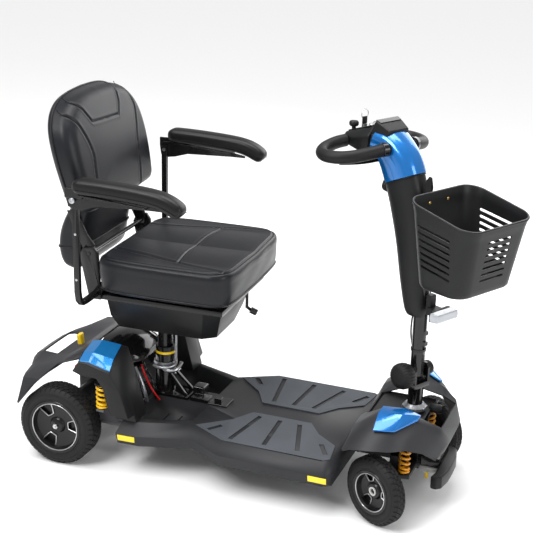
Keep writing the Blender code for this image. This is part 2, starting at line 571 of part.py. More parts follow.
_a = math.radians(STEER_REST)
_dx, _dy = -0.045 * math.cos(_a), -0.045 * math.sin(_a)
_e = [(WHEELBASE + _dx, -KINGPIN_Y + _dy, 0.0812), (WHEELBASE + _dx, KINGPIN_Y + _dy, 0.0812)]
rod = union("tie_rod", [cyl("b", 0.0042, _e[0], _e[1], 12), cyl("b", 0.0085, (_e[0][0], _e[0][1], 0.0765), (_e[0][0], _e[0][1], 0.0862), 16),
                        cyl("b", 0.0085, (_e[1][0], _e[1][1], 0.0765), (_e[1][0], _e[1][1], 0.0862), 16)])
done(rod, "steel", (WHEELBASE + _dx, 0, 0.0812))

# ================================================================ tiller (column frame)
fork_bits = [lathe("b", [(0, 0.121), (0.0142, 0.121), (0.0142, 0.2443), (0.027, 0.2443), (0.0285, 0.248), (0.0285, 0.256), (0.0205, 0.261), (0.0205, 0.318), (0, 0.318)], steps=20),
             box("b", (-0.021, -0.0285, 0.310), (0.021, 0.0285, 0.324))]
for _n, _s in SIDES:
    y0, y1 = sorted((_s * 0.0210, _s * 0.0285))
    fork_bits.append(prism("b", [(-0.0205, 0.315), (0.0205, 0.315), (0.0205, 0.362), (0.012, 0.374), (-0.012, 0.374), (-0.0205, 0.362)], y0, y1, 'XZ'))
fork = union("steering_stem", fork_bits)
boolean(fork, cyl("c", 0.0064, (0, -0.1, FOLD_Z), (0, 0.1, FOLD_Z), 16, True))
done(fork, "black", (0, 0, 0.3), STEER)
knob = lathe("fold_knob", [(0, -0.076), (0.020, -0.076), (0.031, -0.070), (0.0345, -0.060), (0.0345, -0.046), (0.029, -0.034), (0.022, -0.0290),
                           (0.0060, -0.0289), (0.0060, 0.0290), (0.016, 0.0291), (0.019, 0.036), (0.018, 0.046), (0.010, 0.050), (0, 0.050)], (0, 0, FOLD_Z), 'Y', 18)
done(knob, "grip", (0, 0, FOLD_Z), STEER)

tub = lathe("tiller_tube", [(0, FOLD_Z - 0.019), (0.012, FOLD_Z - 0.017), (TUBE_R, FOLD_Z - 0.008), (TUBE_R, 0.640), (0, 0.640)], steps=24)
for z in (0.432, 0.462):
    tub = union("tiller_tube", [tub, box("b", (0.012, -0.006, z), (0.0255, 0.006, z + 0.010))])
boolean(tub, cyl("c", 0.0063, (0, -0.1, FOLD_Z), (0, 0.1, FOLD_Z), 16, True))


def on_column(o, look, pivot=(0, 0, FOLD_Z), smooth=False):
    done(o, look, pivot, FOLD, smooth)
    o.location = Vector(pivot) - Vector((0, 0, FOLD_Z))
    return o


on_column(tub, "black")

# sections of the column shroud: centre x, centre z, half length, half width, tilt back in deg
SHROUD = [(-0.010, 0.512, 0.0270, 0.0270, 0), (-0.014, 0.530, 0.0330, 0.0310, 0), (-0.026, 0.600, 0.0400, 0.0330, 4), (-0.040, 0.700, 0.0480, 0.0350, 6),
          (-0.060, 0.790, 0.0540, 0.0370, 12), (-0.080, 0.850, 0.0560, 0.0380, 20), (-0.105, 0.900, 0.0540, 0.0400, 36), (-0.135, 0.936, 0.0420, 0.0440, 58),
          (-0.168, 0.952, 0.0300, 0.0500, 78)]


def section(s, grow=0.0, n=20, a0=0.0, a1=360.0, closed=True):
    cx, cz, a, b, tilt = s
    out = []
    ca, sa = math.cos(math.radians(tilt)), math.sin(math.radians(tilt))
    m = n if closed else n - 1
    for i in range(n):
        t = math.radians(a0 + (a1 - a0) * i / m)
        c_, s_ = math.cos(t), math.sin(t)
        u = math.copysign(abs(c_) ** 0.72, c_) * (a + grow)
        v = math.copysign(abs(s_) ** 0.72, s_) * (b + grow)
        out.append((cx + u * ca, v, cz + u * sa))
    return out


shr = loft("tiller_shroud", [section(s) for s in SHROUD])
shr = union("tiller_shroud", [shr, box("b", (-0.010, -0.030, 0.700), (0.0330, 0.030, 0.830)), box("b", (-0.040, -0.004, 0.815), (0.004, 0.004, 0.884))])
boolean(shr, cyl("c", TUBE_R + GAP, (0, 0, 0.4), (0, 0, 0.6405), 24, True))
on_column(shr, "black")
cov_rings = []
for s in [(-0.0852, 0.862, 0.0556, 0.0384, 24)] + SHROUD[6:8] + [(-0.152, 0.946, 0.0360, 0.0470, 68)]:
    outer = section(s, 0.0034, 13, -112, 112, False)
    inner = section(s, 0.0012, 13, 112, -112, False)
    cov_rings.append(outer + inner)
covr = loft("tiller_cover", cov_rings)
on_column(covr, "blue")

con = loft("console", [
    [(-0.1765, -0.052, 0.922), (-0.1765, 0.052, 0.922), (-0.1680, 0.056, 0.962), (-0.1630, 0.040, 0.988), (-0.1630, -0.040, 0.988), (-0.1680, -0.056, 0.962)],
    [(-0.205, -0.058, 0.918), (-0.205, 0.058, 0.918), (-0.205, 0.062, 0.952), (-0.205, 0.048, 0.974), (-0.205, -0.048, 0.974), (-0.205, -0.062, 0.952)],
    [(-0.262, -0.050, 0.926), (-0.262, 0.050, 0.926), (-0.262, 0.054, 0.942), (-0.262, 0.044, 0.956), (-0.262, -0.044, 0.956), (-0.262, -0.054, 0.942)],
    [(-0.274, -0.038, 0.932), (-0.274, 0.038, 0.932), (-0.274, 0.040, 0.940), (-0.274, 0.034, 0.948), (-0.274, -0.034, 0.948), (-0.274, -0.040, 0.940)],
])
on_column(con, "black")
for _n, _s in SIDES:
    path = [(-0.112, _s * 0.0560, 0.938), (-0.124, _s * 0.0850, 0.932), (-0.146, _s * 0.1250, 0.924), (-0.172, _s * 0.1520, 0.920), (-0.204, _s * 0.1640, 0.919),
            (-0.232, _s * 0.1560, 0.921), (-0.250, _s * 0.1310, 0.925), (-0.256, _s * 0.1000, 0.930), (-0.254, _s * 0.0765, 0.934)]
    h = tube("handlebar_" + _n, smooth_path(path, 2), HANDLE_R, 2)
    on_column(h, "grip", smooth=True)
# the two loops stop short of the shroud and the console; a cross bar inside carries them

thr = tube("throttle_lever", smooth_path([(-0.206, -0.118, 0.892), (-0.192, -0.088, 0.891), (-0.180, -0.040, 0.890), (-0.180, 0.040, 0.890), (-0.192, 0.088, 0.891),
                                          (-0.206, 0.118, 0.892)], 3), 0.0048, 2)
thr = union("throttle_lever", [thr, cyl("b", 0.009, (-0.182, 0, 0.886), (-0.182, 0, 0.9195), 16)])
on_column(thr, "black", (-0.182, 0, 0.906))

dial = lathe("speed_dial", [(0, 0.9615), (0.005, 0.9615), (0.005, 0.9655), (0.0115, 0.9660), (0.0115, 0.975), (0.009, 0.978), (0, 0.978)], (-0.252, -0.026, 0), steps=20)
on_column(dial, "gloss", (-0.252, -0.026, 0.966))
horn = lathe("horn_button", [(0, 0.9724), (0.009, 0.9724), (0.009, 0.977), (0.006, 0.980), (0, 0.980)], (-0.222, 0.026, 0), steps=16)
on_column(horn, "silver", (-0.222, 0.026, 0.967))
kbits = [lathe("b", [(0, 0.9652), (0.0075, 0.9652), (0.0075, 0.974), (0, 0.974)], (-0.243, 0.004, 0), steps=16),
         box("b", (-0.2445, -0.0035, 0.972), (-0.2415, 0.0115, 0.990))]
key = union("ignition_key", kbits)
on_column(key, "silver", (-0.243, 0.004, 0.966))
hl = union("headlight", [box("b", (0.0235, -0.011, 0.535), (0.040, 0.011, 0.575)), box("b", (0.032, -0.016, 0.526), (0.062, 0.016, 0.546)),
                         box("b", (0.060, -0.034, 0.520), (0.078, 0.034, 0.546), 0.003), loft("b", [
                             [(0.0770, -0.038, 0.522), (0.0770, 0.038, 0.522), (0.0770, 0.042, 0.534), (0.0770, 0.038, 0.546), (0.0770, -0.038, 0.546), (0.0770, -0.042, 0.534)],
                             [(0.0900, -0.035, 0.524), (0.0900, 0.035, 0.524), (0.0900, 0.039, 0.534), (0.0900, 0.035, 0.544), (0.0900, -0.035, 0.544), (0.0900, -0.039, 0.534)]])])
on_column(hl, "lens")

# basket and its bracket

def rrect(x0, x1, hy, r, z, n=4):
    pts = []
    for cx, cy, a0 in ((x1 - r, hy - r, 0), (x0 + r, hy - r, 90), (x0 + r, -hy + r, 180), (x1 - r, -hy + r, 270)):
        for i in range(n + 1):
            a = math.radians(a0 + 90 * i / n)
            pts.append((cx + r * math.cos(a), cy + r * math.sin(a), z))
    return pts


def basket_ring(t, inset=0.0, dz=0.0):
    """A level at height fraction t (0 floor, 1 rim); the rim slopes down forward."""
    xa, xb = 0.0580 - 0.0235 * t + inset, 0.2100 + 0.0330 * t - inset
    hy = 0.106 + 0.0170 * t - inset
    pts = rrect(xa, xb, hy, 0.045 - inset, 0)
    out = []
    for x, y, _z in pts:
        zr = 0.857 - 0.040 * (x - 0.0345) / 0.2085
        out.append((x, y, 0.632 + (zr - 0.632) * t + dz))
    return out


rings = [basket_ring(0.0, 0.010), basket_ring(0.04), basket_ring(0.93), basket_ring(0.95, -0.0035), basket_ring(1.0, -0.0035),
         basket_ring(1.0, 0.0035), basket_ring(0.04, 0.0035), basket_ring(0.0, 0.012, 0.0035)]
bas = loft("basket", rings)
bm_ = bmesh.new()
for k in range(7):
    z = 0.684 + k * 0.0165
    for lo, hi in (((0.0862, -0.3, z), (0.1873, 0.3, z + 0.0075)), ((0.193, -0.0437, z), (0.4, 0.0437, z + 0.0075))):
        mid = [(a + b) / 2 for a, b in zip(lo, hi)]
        size = [b - a for a, b in zip(lo, hi)]
        bmesh.ops.create_cube(bm_, size=1.0, matrix=Matrix.Translation(mid) @ Matrix.Diagonal((*size, 1.0)))
slot_mesh = bpy.data.meshes.new("basket_slots")
bm_.to_mesh(slot_mesh)
bm_.free()
slots = bpy.data.objects.new("basket_slots", slot_mesh)
CUTTERS.objects.link(slots)
slots.hide_render = True
slots.display_type = 'WIRE'
bm_ = bmesh.new()
bm_.from_mesh(bas.data)
bmesh.ops.triangulate(bm_, faces=bm_.faces)
bm_.to_mesh(bas.data)
bm_.free()
boolean(bas, slots)
on_column(bas, "black", (0.034, 0, 0.84))

# ================================================================ seat
post = lathe("seat_post", [(0, 0.166), (POST_R, 0.166), (POST_R, 0.360), (0, 0.360)], (POST_X, 0, 0), steps=24)
plate = box("b", (POST_X - 0.05, -0.05, 0.3565), (POST_X + 0.05, 0.05, 0.362), 0.0)
post = union("seat_post", [post, plate])
done(post, "black", (POST_X, 0, 0.2))


def on_seat(o, look, pivot=(POST_X, 0, 0.36), smooth=False):
    done(o, look, pivot, SWIVEL, smooth)
    o.location = Vector(pivot) - Vector((POST_X, 0, 0.36))
    return o


sbox = loft("under_seat_box", [
    [(0.115, -0.095, 0.3750), (0.365, -0.095, 0.3750), (0.398, -0.068, 0.3750), (0.398, 0.068, 0.3750), (0.365, 0.095, 0.3750), (0.115, 0.095, 0.3750)],
    [(0.106, -0.128, 0.4200), (0.378, -0.128, 0.4200), (0.414, -0.096, 0.4200), (0.414, 0.096, 0.4200), (0.378, 0.128, 0.4200), (0.106, 0.128, 0.4200)],
    [(0.104, -0.148, 0.4780), (0.388, -0.148, 0.4780), (0.430, -0.112, 0.4780), (0.430, 0.112, 0.4780), (0.388, 0.148, 0.4780), (0.104, 0.148, 0.4780)]])
boolean(sbox, loft("c", [
    [(0.125, -0.086, 0.3790), (0.360, -0.086, 0.3790), (0.388, -0.062, 0.3790), (0.388, 0.062, 0.3790), (0.360, 0.086, 0.3790), (0.125, 0.086, 0.3790)],
    [(0.110, -0.143, 0.4800), (0.385, -0.143, 0.4800), (0.425, -0.109, 0.4800), (0.425, 0.109, 0.4800), (0.385, 0.143, 0.4800), (0.110, 0.143, 0.4800)]], True))
boolean(sbox, cyl("c", 0.034, (POST_X, 0, 0.3), (POST_X, 0, 0.44), 24, True))
on_seat(sbox, "deck")
seatf = union("seat_frame", [box("b", (0.092, -0.165, 0.4783), (0.450, 0.165, 0.4920)), cyl("b", 0.030, (POST_X, 0, 0.3623), (POST_X, 0, 0.4800), 24),
                             box("b", (0.078, -0.140, 0.4790), (0.102, 0.140, 0.5130))])
for _n, _s in SIDES:
    y0, y1 = sorted((_s * 0.166, _s * 0.1745))
    ear = prism("b", [(0.040, 0.600), (0.050, 0.622), (0.082, 0.628), (0.094, 0.6100), (0.100, 0.4800), (0.066, 0.4800)], y0, y1, 'XZ')
    web = box("b", (0.070, min(_s * 0.130, _s * 0.1745), 0.4810), (0.1005, max(_s * 0.130, _s * 0.1745), 0.4900))
    seatf = union("seat_frame", [seatf, ear, web])
boolean(seatf, cyl("c", 0.0063, (0.068, -0.3, 0.608), (0.068, 0.3, 0.608), 16, True))
for _n, _s in SIDES:
    boolean(seatf, box("c", (0.0815, min(_s * 0.060, _s * 0.2), 0.4935), (0.0985, max(_s * 0.060, _s * 0.2), 0.5075), cutter=True))
on_seat(seatf, "steel")

cush = box("seat_cushion", (0.104, -0.222, 0.5135), (0.486, 0.222, 0.6180), 0.030, 3)
on_seat(cush, "vinyl", smooth=False)
BACK = [(0.062, 0.626), (0.106, 0.716), (0.104, 0.800), (0.086, 0.920), (0.066, 1.006), (0.042, 1.034), (0.008, 1.026), (-0.014, 0.995),
        (-0.020, 0.900), (-0.018, 0.780), (-0.022, 0.716), (-0.030, 0.640)]
# back pad: flat outline with a rounded head, leaning back
out = []
for y, z in ((0.200, 0.722), (0.220, 0.790), (0.226, 0.860), (0.218, 0.930), (0.188, 0.982), (0.130, 1.012), (0.054, 1.024)):
    out.append((y, z))
outline = out + [(-y, z) for y, z in reversed(out)]


def lean(z):
    return 0.100 - 0.060 * (z - 0.72) / 0.31 - 0.02 * ((z - 0.72) / 0.31) ** 2


bk = []
for d, inset in ((0.0, 0.022), (0.012, 0.006), (0.030, 0.0), (0.062, 0.0), (0.076, 0.010)):
    ring = []
    for y, z in outline:
        cy, cz = 0, 0.87
        L = math.hypot(y, z - cz)
        k = (L - inset) / L
        yy, zz = y * k, cz + (z - cz) * k
        ring.append((lean(zz) - d, yy, zz))
    bk.append(ring)
back = loft("back_pad", bk)
BACKPIV = (0.068, 0, 0.608)
lowb = loft("back_lower_cover", [
    [(0.062, y, 0.740) for y in (-0.150, 0.150)] + [(0.034, y, 0.740) for y in (0.150, -0.150)],
    [(0.050, y, 0.700) for y in (-0.154, 0.154)] + [(-0.020, y, 0.700) for y in (0.154, -0.154)],
    [(0.046, y, 0.640) for y in (-0.155, 0.155)] + [(-0.042, y, 0.640) for y in (0.155, -0.155)],
    [(0.036, y, 0.575) for y in (-0.156, 0.156)] + [(-0.038, y, 0.575) for y in (0.156, -0.156)],
    [(0.024, y, 0.545) for y in (-0.145, 0.145)] + [(-0.012, y, 0.545) for y in (0.145, -0.145)]])
back = union("back_pad", [back, lowb])
boolean(back, cyl("c", 0.0085, (0.068, -0.3, 0.608), (0.068, 0.3, 0.608), 16, True))
on_seat(back, "vinyl", BACKPIV)
bf_bits = [cyl("b", 0.0060, (0.068, -0.1755, 0.608), (0.068, 0.1755, 0.608), 16)]
for _n, _s in SIDES:
    y0, y1 = sorted((_s * 0.1605, _s * 0.1655))
    bf_bits.append(prism("b", [(0.056, 0.598), (0.080, 0.598), (0.080, 0.632), (0.058, 0.660), (0.030, 0.7195), (0.000, 0.7195), (0.030, 0.650)], y0, y1, 'XZ'))
bfr = union("back_frame", bf_bits)
boolean(bfr, box("c", (0.0, -0.5, 0.7190), (0.2, 0.5, 0.9), cutter=True))
on_seat(bfr, "steel", BACKPIV)

ARM_PIV_X, ARM_PIV_Z = 0.081, 0.794
for _n, _s in SIDES:
    # flat tube: down from the pivot, round a bend and inward into the receiver
    path = [(0.090, _s * 0.2840, 0.804), (0.090, _s * 0.2840, 0.540), (0.090, _s * 0.2790, 0.516), (0.090, _s * 0.2660, 0.5025), (0.090, _s * 0.2450, 0.5005), (0.090, _s * 0.1100, 0.5005)]
    rings = []
    for i, p in enumerate(path):
        a = Vector(path[max(i - 1, 0)])
        b = Vector(path[min(i + 1, len(path) - 1)])
        d = (b - a).normalized()
        nrm = Vector((0, -d.z, d.y))
        c = Vector(p)
        w, t = 0.0078, 0.0062
        rings.append([c + Vector((w, 0, 0)) + nrm * t, c + Vector((w, 0, 0)) - nrm * t, c - Vector((w, 0, 0)) - nrm * t, c - Vector((w, 0, 0)) + nrm * t])
    at = loft("armrest_tube_" + _n, rings)
    boolean(at, cyl("c", 0.0053, (0.090, -0.5, ARM_PIV_Z), (0.090, 0.5, ARM_PIV_Z), 16, True))
    on_seat(at, "black", (0.090, _s * 0.284, 0.5005))
    y0, y1 = sorted((_s * 0.2915, _s * 0.2965))
    pl = prism("b", [(0.078, 0.784), (0.078, 0.806), (0.110, 0.8145), (0.300, 0.8000), (0.300, 0.788), (0.140, 0.786)], y0, y1, 'XZ')
    pin = cyl("b", 0.0050, (0.090, _s * 0.2765, ARM_PIV_Z), (0.090, _s * 0.2985, ARM_PIV_Z), 16)
    shelf = loft("b", [[(0.112, _s * 0.288, 0.8105), (0.112, _s * 0.3165, 0.8105), (0.112, _s * 0.3165, 0.8145), (0.112, _s * 0.288, 0.8145)],
                       [(0.300, _s * 0.288, 0.7960), (0.300, _s * 0.3165, 0.7960), (0.300, _s * 0.3165, 0.8000), (0.300, _s * 0.288, 0.8000)]])
    pl = union("b", [pl, pin, shelf])
    prof = [(0.112, 0.8135), (0.100, 0.824), (0.098, 0.842), (0.110, 0.8560), (0.230, 0.8580), (0.345, 0.848), (0.398, 0.820), (0.388, 0.797), (0.372, 0.779),
            (0.340, 0.793), (0.300, 0.7990)]
    pad = prism("armrest_pad_" + _n, prof, min(_s * 0.2755, _s * 0.3285), max(_s * 0.2755, _s * 0.3285), 'XZ', 0.009, 2)
    pad = union("armrest_" + _n, [pad, pl])
    on_seat(pad, "black", (0.090, _s * 0.3, ARM_PIV_Z))

slv = union("swivel_lever", [cyl("b", 0.0045, (0.438, 0.060, 0.4770), (0.438, 0.060, 0.424), 12), cyl("b", 0.0045, (0.438, 0.060, 0.426), (0.450, 0.064, 0.416), 12),
                             cyl("b", 0.0095, (0.448, 0.063, 0.418), (0.464, 0.069, 0.409), 16)])
on_seat(slv, "black", (0.438, 0.060, 0.477))

bpy.context.view_layer.update()
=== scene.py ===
import bpy
import bmesh
import json
import math
import numpy as np
from mathutils import Matrix, Vector

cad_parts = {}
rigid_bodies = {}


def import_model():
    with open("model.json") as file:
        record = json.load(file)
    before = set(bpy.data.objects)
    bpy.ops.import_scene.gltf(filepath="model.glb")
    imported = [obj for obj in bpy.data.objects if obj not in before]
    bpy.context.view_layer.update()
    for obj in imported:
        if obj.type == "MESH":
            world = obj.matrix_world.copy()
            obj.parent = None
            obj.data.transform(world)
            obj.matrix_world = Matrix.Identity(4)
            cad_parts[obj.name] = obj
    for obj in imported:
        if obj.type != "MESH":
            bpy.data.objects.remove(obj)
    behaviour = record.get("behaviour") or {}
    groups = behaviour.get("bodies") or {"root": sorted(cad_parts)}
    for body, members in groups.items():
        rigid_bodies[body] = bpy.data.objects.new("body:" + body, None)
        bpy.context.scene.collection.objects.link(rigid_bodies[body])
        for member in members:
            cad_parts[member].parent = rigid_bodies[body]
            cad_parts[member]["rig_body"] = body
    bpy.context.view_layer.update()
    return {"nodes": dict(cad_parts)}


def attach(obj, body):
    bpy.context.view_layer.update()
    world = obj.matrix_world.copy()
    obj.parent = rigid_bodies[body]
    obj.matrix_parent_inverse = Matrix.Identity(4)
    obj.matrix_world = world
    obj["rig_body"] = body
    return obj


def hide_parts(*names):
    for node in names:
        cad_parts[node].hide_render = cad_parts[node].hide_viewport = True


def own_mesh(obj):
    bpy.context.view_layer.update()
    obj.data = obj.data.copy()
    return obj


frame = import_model()
NODES = frame["nodes"]

OX, OY = 0.52236, 0.00114
ROW = Matrix.Translation((-OX, -OY, 0))
COL = ROW @ Matrix.Translation((0.951, 0, 0)) @ Matrix.Rotation(math.radians(-28), 4, 'Z')
SEAT = ROW @ Matrix.Translation((0.215, 0, 0)) @ Matrix.Rotation(math.radians(2), 4, 'Z') @ Matrix.Translation((-0.215, 0, 0))
KNU = {s: ROW @ Matrix.Translation((0.939, s * 0.157, 0)) @ Matrix.Rotation(math.radians(-28), 4, 'Z') for s in (-1, 1)}
SIDES = (("right", -1), ("left", 1))


# ------------------------------------------------------------------ materials
def mat(name, col, rough, metal=0.0, coat=0.0, grain=900.0, bump=0.06, vary=0.12, rvary=0.06, kind='noise', spec=0.24, coat_rough=0.05, depth=0.0003, emit=None):
    m = bpy.data.materials.new(name)
    m.use_nodes = True
    nt = m.node_tree
    b = nt.nodes["Principled BSDF"]
    b.inputs["Metallic"].default_value = metal
    b.inputs["Coat Weight"].default_value = coat
    b.inputs["Coat Roughness"].default_value = coat_rough
    b.inputs["Specular IOR Level"].default_value = spec
    tc = nt.nodes.new("ShaderNodeTexCoord")
    big = nt.nodes.new("ShaderNodeTexNoise")
    big.inputs["Scale"].default_value = 11.0
    big.inputs["Detail"].default_value = 4.0
    nt.links.new(tc.outputs["Object"], big.inputs["Vector"])
    ramp = nt.nodes.new("ShaderNodeValToRGB")
    ramp.color_ramp.elements[0].position = 0.32
    ramp.color_ramp.elements[1].position = 0.70
    ramp.color_ramp.elements[0].color = (*[c * (1 - vary) for c in col], 1)
    ramp.color_ramp.elements[1].color = (*[min(1.0, c * (1 + vary)) for c in col], 1)
    nt.links.new(big.outputs["Fac"], ramp.inputs["Fac"])
    nt.links.new(ramp.outputs["Color"], b.inputs["Base Color"])
    rm = nt.nodes.new("ShaderNodeMapRange")
    rm.inputs["To Min"].default_value = max(0.02, rough - rvary)
    rm.inputs["To Max"].default_value = min(1.0, rough + rvary)
    nt.links.new(big.outputs["Fac"], rm.inputs["Value"])
    nt.links.new(rm.outputs["Result"], b.inputs["Roughness"])
    if bump > 0:
        if kind == 'voronoi':
            fine = nt.nodes.new("ShaderNodeTexVoronoi")
            fine.inputs["Scale"].default_value = grain
            out = fine.outputs["Distance"]
        else:
            fine = nt.nodes.new("ShaderNodeTexNoise")
            fine.inputs["Scale"].default_value = grain
            fine.inputs["Detail"].default_value = 3.0
            out = fine.outputs["Fac"]
        nt.links.new(tc.outputs["Object"], fine.inputs["Vector"])
        bp = nt.nodes.new("ShaderNodeBump")
        bp.inputs["Strength"].default_value = bump
        bp.inputs["Distance"].default_value = depth
        nt.links.new(out, bp.inputs["Height"])
        nt.links.new(bp.outputs["Normal"], b.inputs["Normal"])
    if emit:
        b.inputs["Emission Color"].default_value = (*emit, 1)
        b.inputs["Emission Strength"].default_value = 0.25
    return m


M = {
    "vinyl": mat("vinyl", (0.0095, 0.0100, 0.0125), 0.34, grain=620, bump=0.35, kind='voronoi', vary=0.10, depth=0.0004),
    # a darker copy of the seat vinyl: painted shade, used for the piping
    "vinyl_painted_shade": mat("vinyl_painted_shade", (0.0075, 0.0078, 0.0095), 0.36, grain=620, bump=0.35, kind='voronoi', vary=0.10, depth=0.0004),
    "seam": mat("seam_thread", (0.003, 0.003, 0.004), 0.6, grain=1500, bump=0.2),
    "pad": mat("arm_pad", (0.0065, 0.0065, 0.0070), 0.36, grain=800, bump=0.15),
    "mould": mat("moulded_black", (0.0095, 0.0098, 0.0105), 0.42, grain=1300, bump=0.22),
    "shell": mat("moulded_grey", (0.026, 0.0265, 0.029), 0.44, grain=1300, bump=0.22, vary=0.08),
    "deck": mat("deck_grey", (0.021, 0.0215, 0.0235), 0.44, grain=900, bump=0.30, vary=0.10),
    # near-black colour for painted shade: the dark inside of the front opening and the dark band under the tiller
    # cover's edge
    "shade_black": mat("painted_shade_black", (0.005, 0.005, 0.0055), 0.5, grain=900, bump=0.1),
    "mat": mat("deck_rubber", (0.060, 0.066, 0.076), 0.62, grain=700, bump=0.30, vary=0.10),
    "groove": mat("deck_groove", (0.035, 0.038, 0.044), 0.6, grain=700, bump=0.2),
    "gloss": mat("gloss_black", (0.0055, 0.0055, 0.006), 0.16, coat=0.4, bump=0.02, grain=500),
    "frame": mat("black_paint", (0.006, 0.006, 0.0065), 0.27, coat=0.25, bump=0.04, grain=700),
    "blue": mat("blue_metallic", (0.003, 0.150, 0.480), 0.22, metal=0.45, coat=1.0, coat_rough=0.03, bump=0.03, grain=2500, vary=0.06, rvary=0.03),
    # a lighter copy of the blue paint: painted light, used on one panel of each mirrored pair
    "blue_painted_light": mat("blue_paint_lit_copy", (0.012, 0.205, 0.540), 0.22, metal=0.35, coat=1.0, coat_rough=0.03, bump=0.03, grain=2500, vary=0.06, rvary=0.03),
    "tyre": mat("tyre_rubber", (0.0105, 0.0105, 0.0110), 0.62, grain=500, bump=0.25, vary=0.2),
    "rim": mat("rim_black", (0.006, 0.006, 0.0065), 0.34, coat=0.2, bump=0.05, grain=800),
    "silver": mat("silver_edge", (0.62, 0.62, 0.63), 0.30, metal=0.85, bump=0.05, grain=1500, vary=0.06),
    "steel": mat("steel", (0.42, 0.43, 0.45), 0.32, metal=0.9, bump=0.06, grain=1200),
    "grey": mat("grey_cast", (0.11, 0.11, 0.118), 0.5, metal=0.3, bump=0.2, grain=900),
    "drive": mat("drive_black", (0.008, 0.008, 0.0085), 0.38, bump=0.15, grain=900),
    "grip": mat("soft_grip", (0.0075, 0.0075, 0.0080), 0.52, grain=1100, bump=0.22),
    "spring_y": mat("spring_yellow", (0.86, 0.50, 0.008), 0.30, coat=0.5, bump=0.04, grain=900, vary=0.06),
    "spring_o": mat("spring_orange", (0.72, 0.30, 0.008), 0.30, coat=0.5, bump=0.04, grain=900, vary=0.06),
    "yellow": mat("yellow_plastic", (0.90, 0.60, 0.015), 0.32, coat=0.4, bump=0.04, grain=900, vary=0.05),
    "reflector": mat("yellow_reflector", (0.92, 0.66, 0.010), 0.20, coat=0.8, bump=0.5, grain=380, kind='voronoi', vary=0.04, depth=0.0006),
    "red": mat("red_lens", (0.60, 0.010, 0.010), 0.15, coat=0.9, bump=0.35, grain=420, kind='voronoi', vary=0.05, depth=0.0005),
    "wire": mat("red_wire", (0.65, 0.012, 0.012), 0.35, bump=0.05, grain=900),
    "lamp": mat("lamp_lens", (0.42, 0.44, 0.47), 0.12, coat=0.9, bump=0.4, grain=330, kind='voronoi', vary=0.04, depth=0.0006),
    "brass": mat("brass", (0.62, 0.40, 0.14), 0.30, metal=0.9, bump=0.05, grain=900),
    "white": mat("pale_rim", (0.30, 0.44, 0.52), 0.22, coat=0.6, bump=0.03, grain=900, vary=0.04),
    "screen": mat("smoked_screen", (0.012, 0.013, 0.016), 0.08, coat=1.0, bump=0.01, grain=500),
    "key": mat("key_black", (0.012, 0.012, 0.012), 0.35, bump=0.1, grain=900),
    "pale": mat("pale_disc", (0.50, 0.50, 0.49), 0.5, bump=0.15, grain=900),
}


# ------------------------------------------------------------------ mesh helpers
def new_obj(name, me, material, body, replaces=(), smooth=45.0):
    o = bpy.data.objects.new(name, me)
    bpy.context.scene.collection.objects.link(o)
    me.materials.clear()
    me.materials.append(material)
    if smooth is not None:
        me.shade_smooth()
        me.set_sharp_from_angle(angle=math.radians(smooth))
    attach(o, body)
    if replaces:
        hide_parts(*replaces)
    return o


def from_bm(bm, name, material, body, T=None, replaces=(), smooth=45.0, bevel=0.0, segs=2, subsurf=0, fix=True):
    if T is not None:
        bm.transform(T)
    if fix:
        bmesh.ops.recalc_face_normals(bm, faces=bm.faces)
    me = bpy.data.meshes.new(name)
    bm.to_mesh(me)
    bm.free()
    o = new_obj(name, me, material, body, replaces, smooth)
    if bevel:
        add_bevel(o, bevel, segs)
    if subsurf:
        m = o.modifiers.new("sub", 'SUBSURF')
        m.levels = subsurf
        m.render_levels = subsurf
    return o


def add_bevel(o, w, segs=2, angle=32):
    o.data.shade_smooth()
    m = o.modifiers.new("bev", 'BEVEL')
    m.width = w
    m.segments = segs
    m.limit_method = 'ANGLE'
    m.angle_limit = math.radians(angle)
    m.use_clamp_overlap = True
    m.harden_normals = True
    m.miter_outer = 'MITER_ARC'
    return o


def refine(node, w, material, segs=2, angle=32, name=None, merge=True):
    """The CAD node with its edges rounded and a finish."""
    bm = bmesh.new()
    bm.from_mesh(NODES[node].data)
    bmesh.ops.remove_doubles(bm, verts=bm.verts, dist=0.00001)
    if merge:
        bmesh.ops.dissolve_limit(bm, angle_limit=math.radians(0.6), verts=bm.verts, edges=bm.edges)
    body = NODES[node]["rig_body"]
    me = bpy.data.meshes.new(name or "v_" + node)
    bm.to_mesh(me)
    bm.free()
    o = new_obj(name or "v_" + node, me, material, body, (node,), None)
    if w:
        add_bevel(o, w, segs, angle)
    else:
        me.shade_smooth()
        me.set_sharp_from_angle(angle=math.radians(angle))
    return o


def box_bm(bm, lo, hi, R=None):
    g = bmesh.ops.create_cube(bm, size=1.0)
    c = [(a + b) / 2 for a, b in zip(lo, hi)]
    d = [b - a for a, b in zip(lo, hi)]
    T = Matrix.Translation(c) @ (R if R is not None else Matrix.Identity(4)) @ Matrix.Diagonal((*d, 1))
    bmesh.ops.transform(bm, matrix=T, verts=g["verts"])
    return g["verts"]


def loft_bm(rings, closed=True, caps=True, bm=None):
    bm = bm or bmesh.new()
    vs = [[bm.verts.new(p) for p in r] for r in rings]
    n = len(rings[0])
    for a, b in zip(vs[:-1], vs[1:]):
        for i in range(n if closed else n - 1):
            j = (i + 1) % n
            bm.faces.new((a[i], a[j], b[j], b[i]))
    if caps:
        bm.faces.new(list(reversed(vs[0])))
        bm.faces.new(vs[-1])
    return bm


def catmull(pts, n=8, closed=False):
    P = [np.array(p, float) for p in pts]
    out = []
    m = len(P)
    for i in range(m if closed else m - 1):
        if closed:
            a, b, c, d = P[(i - 1) % m], P[i], P[(i + 1) % m], P[(i + 2) % m]
        else:
            a, b, c, d = P[max(i - 1, 0)], P[i], P[i + 1], P[min(i + 2, m - 1)]
        for k in range(n):
            t = k / n
            out.append(0.5 * ((2 * b) + (c - a) * t + (2 * a - 5 * b + 4 * c - d) * t * t + (3 * b - a - 3 * c + d) * t ** 3))
    if not closed:
        out.append(P[-1])
    return out


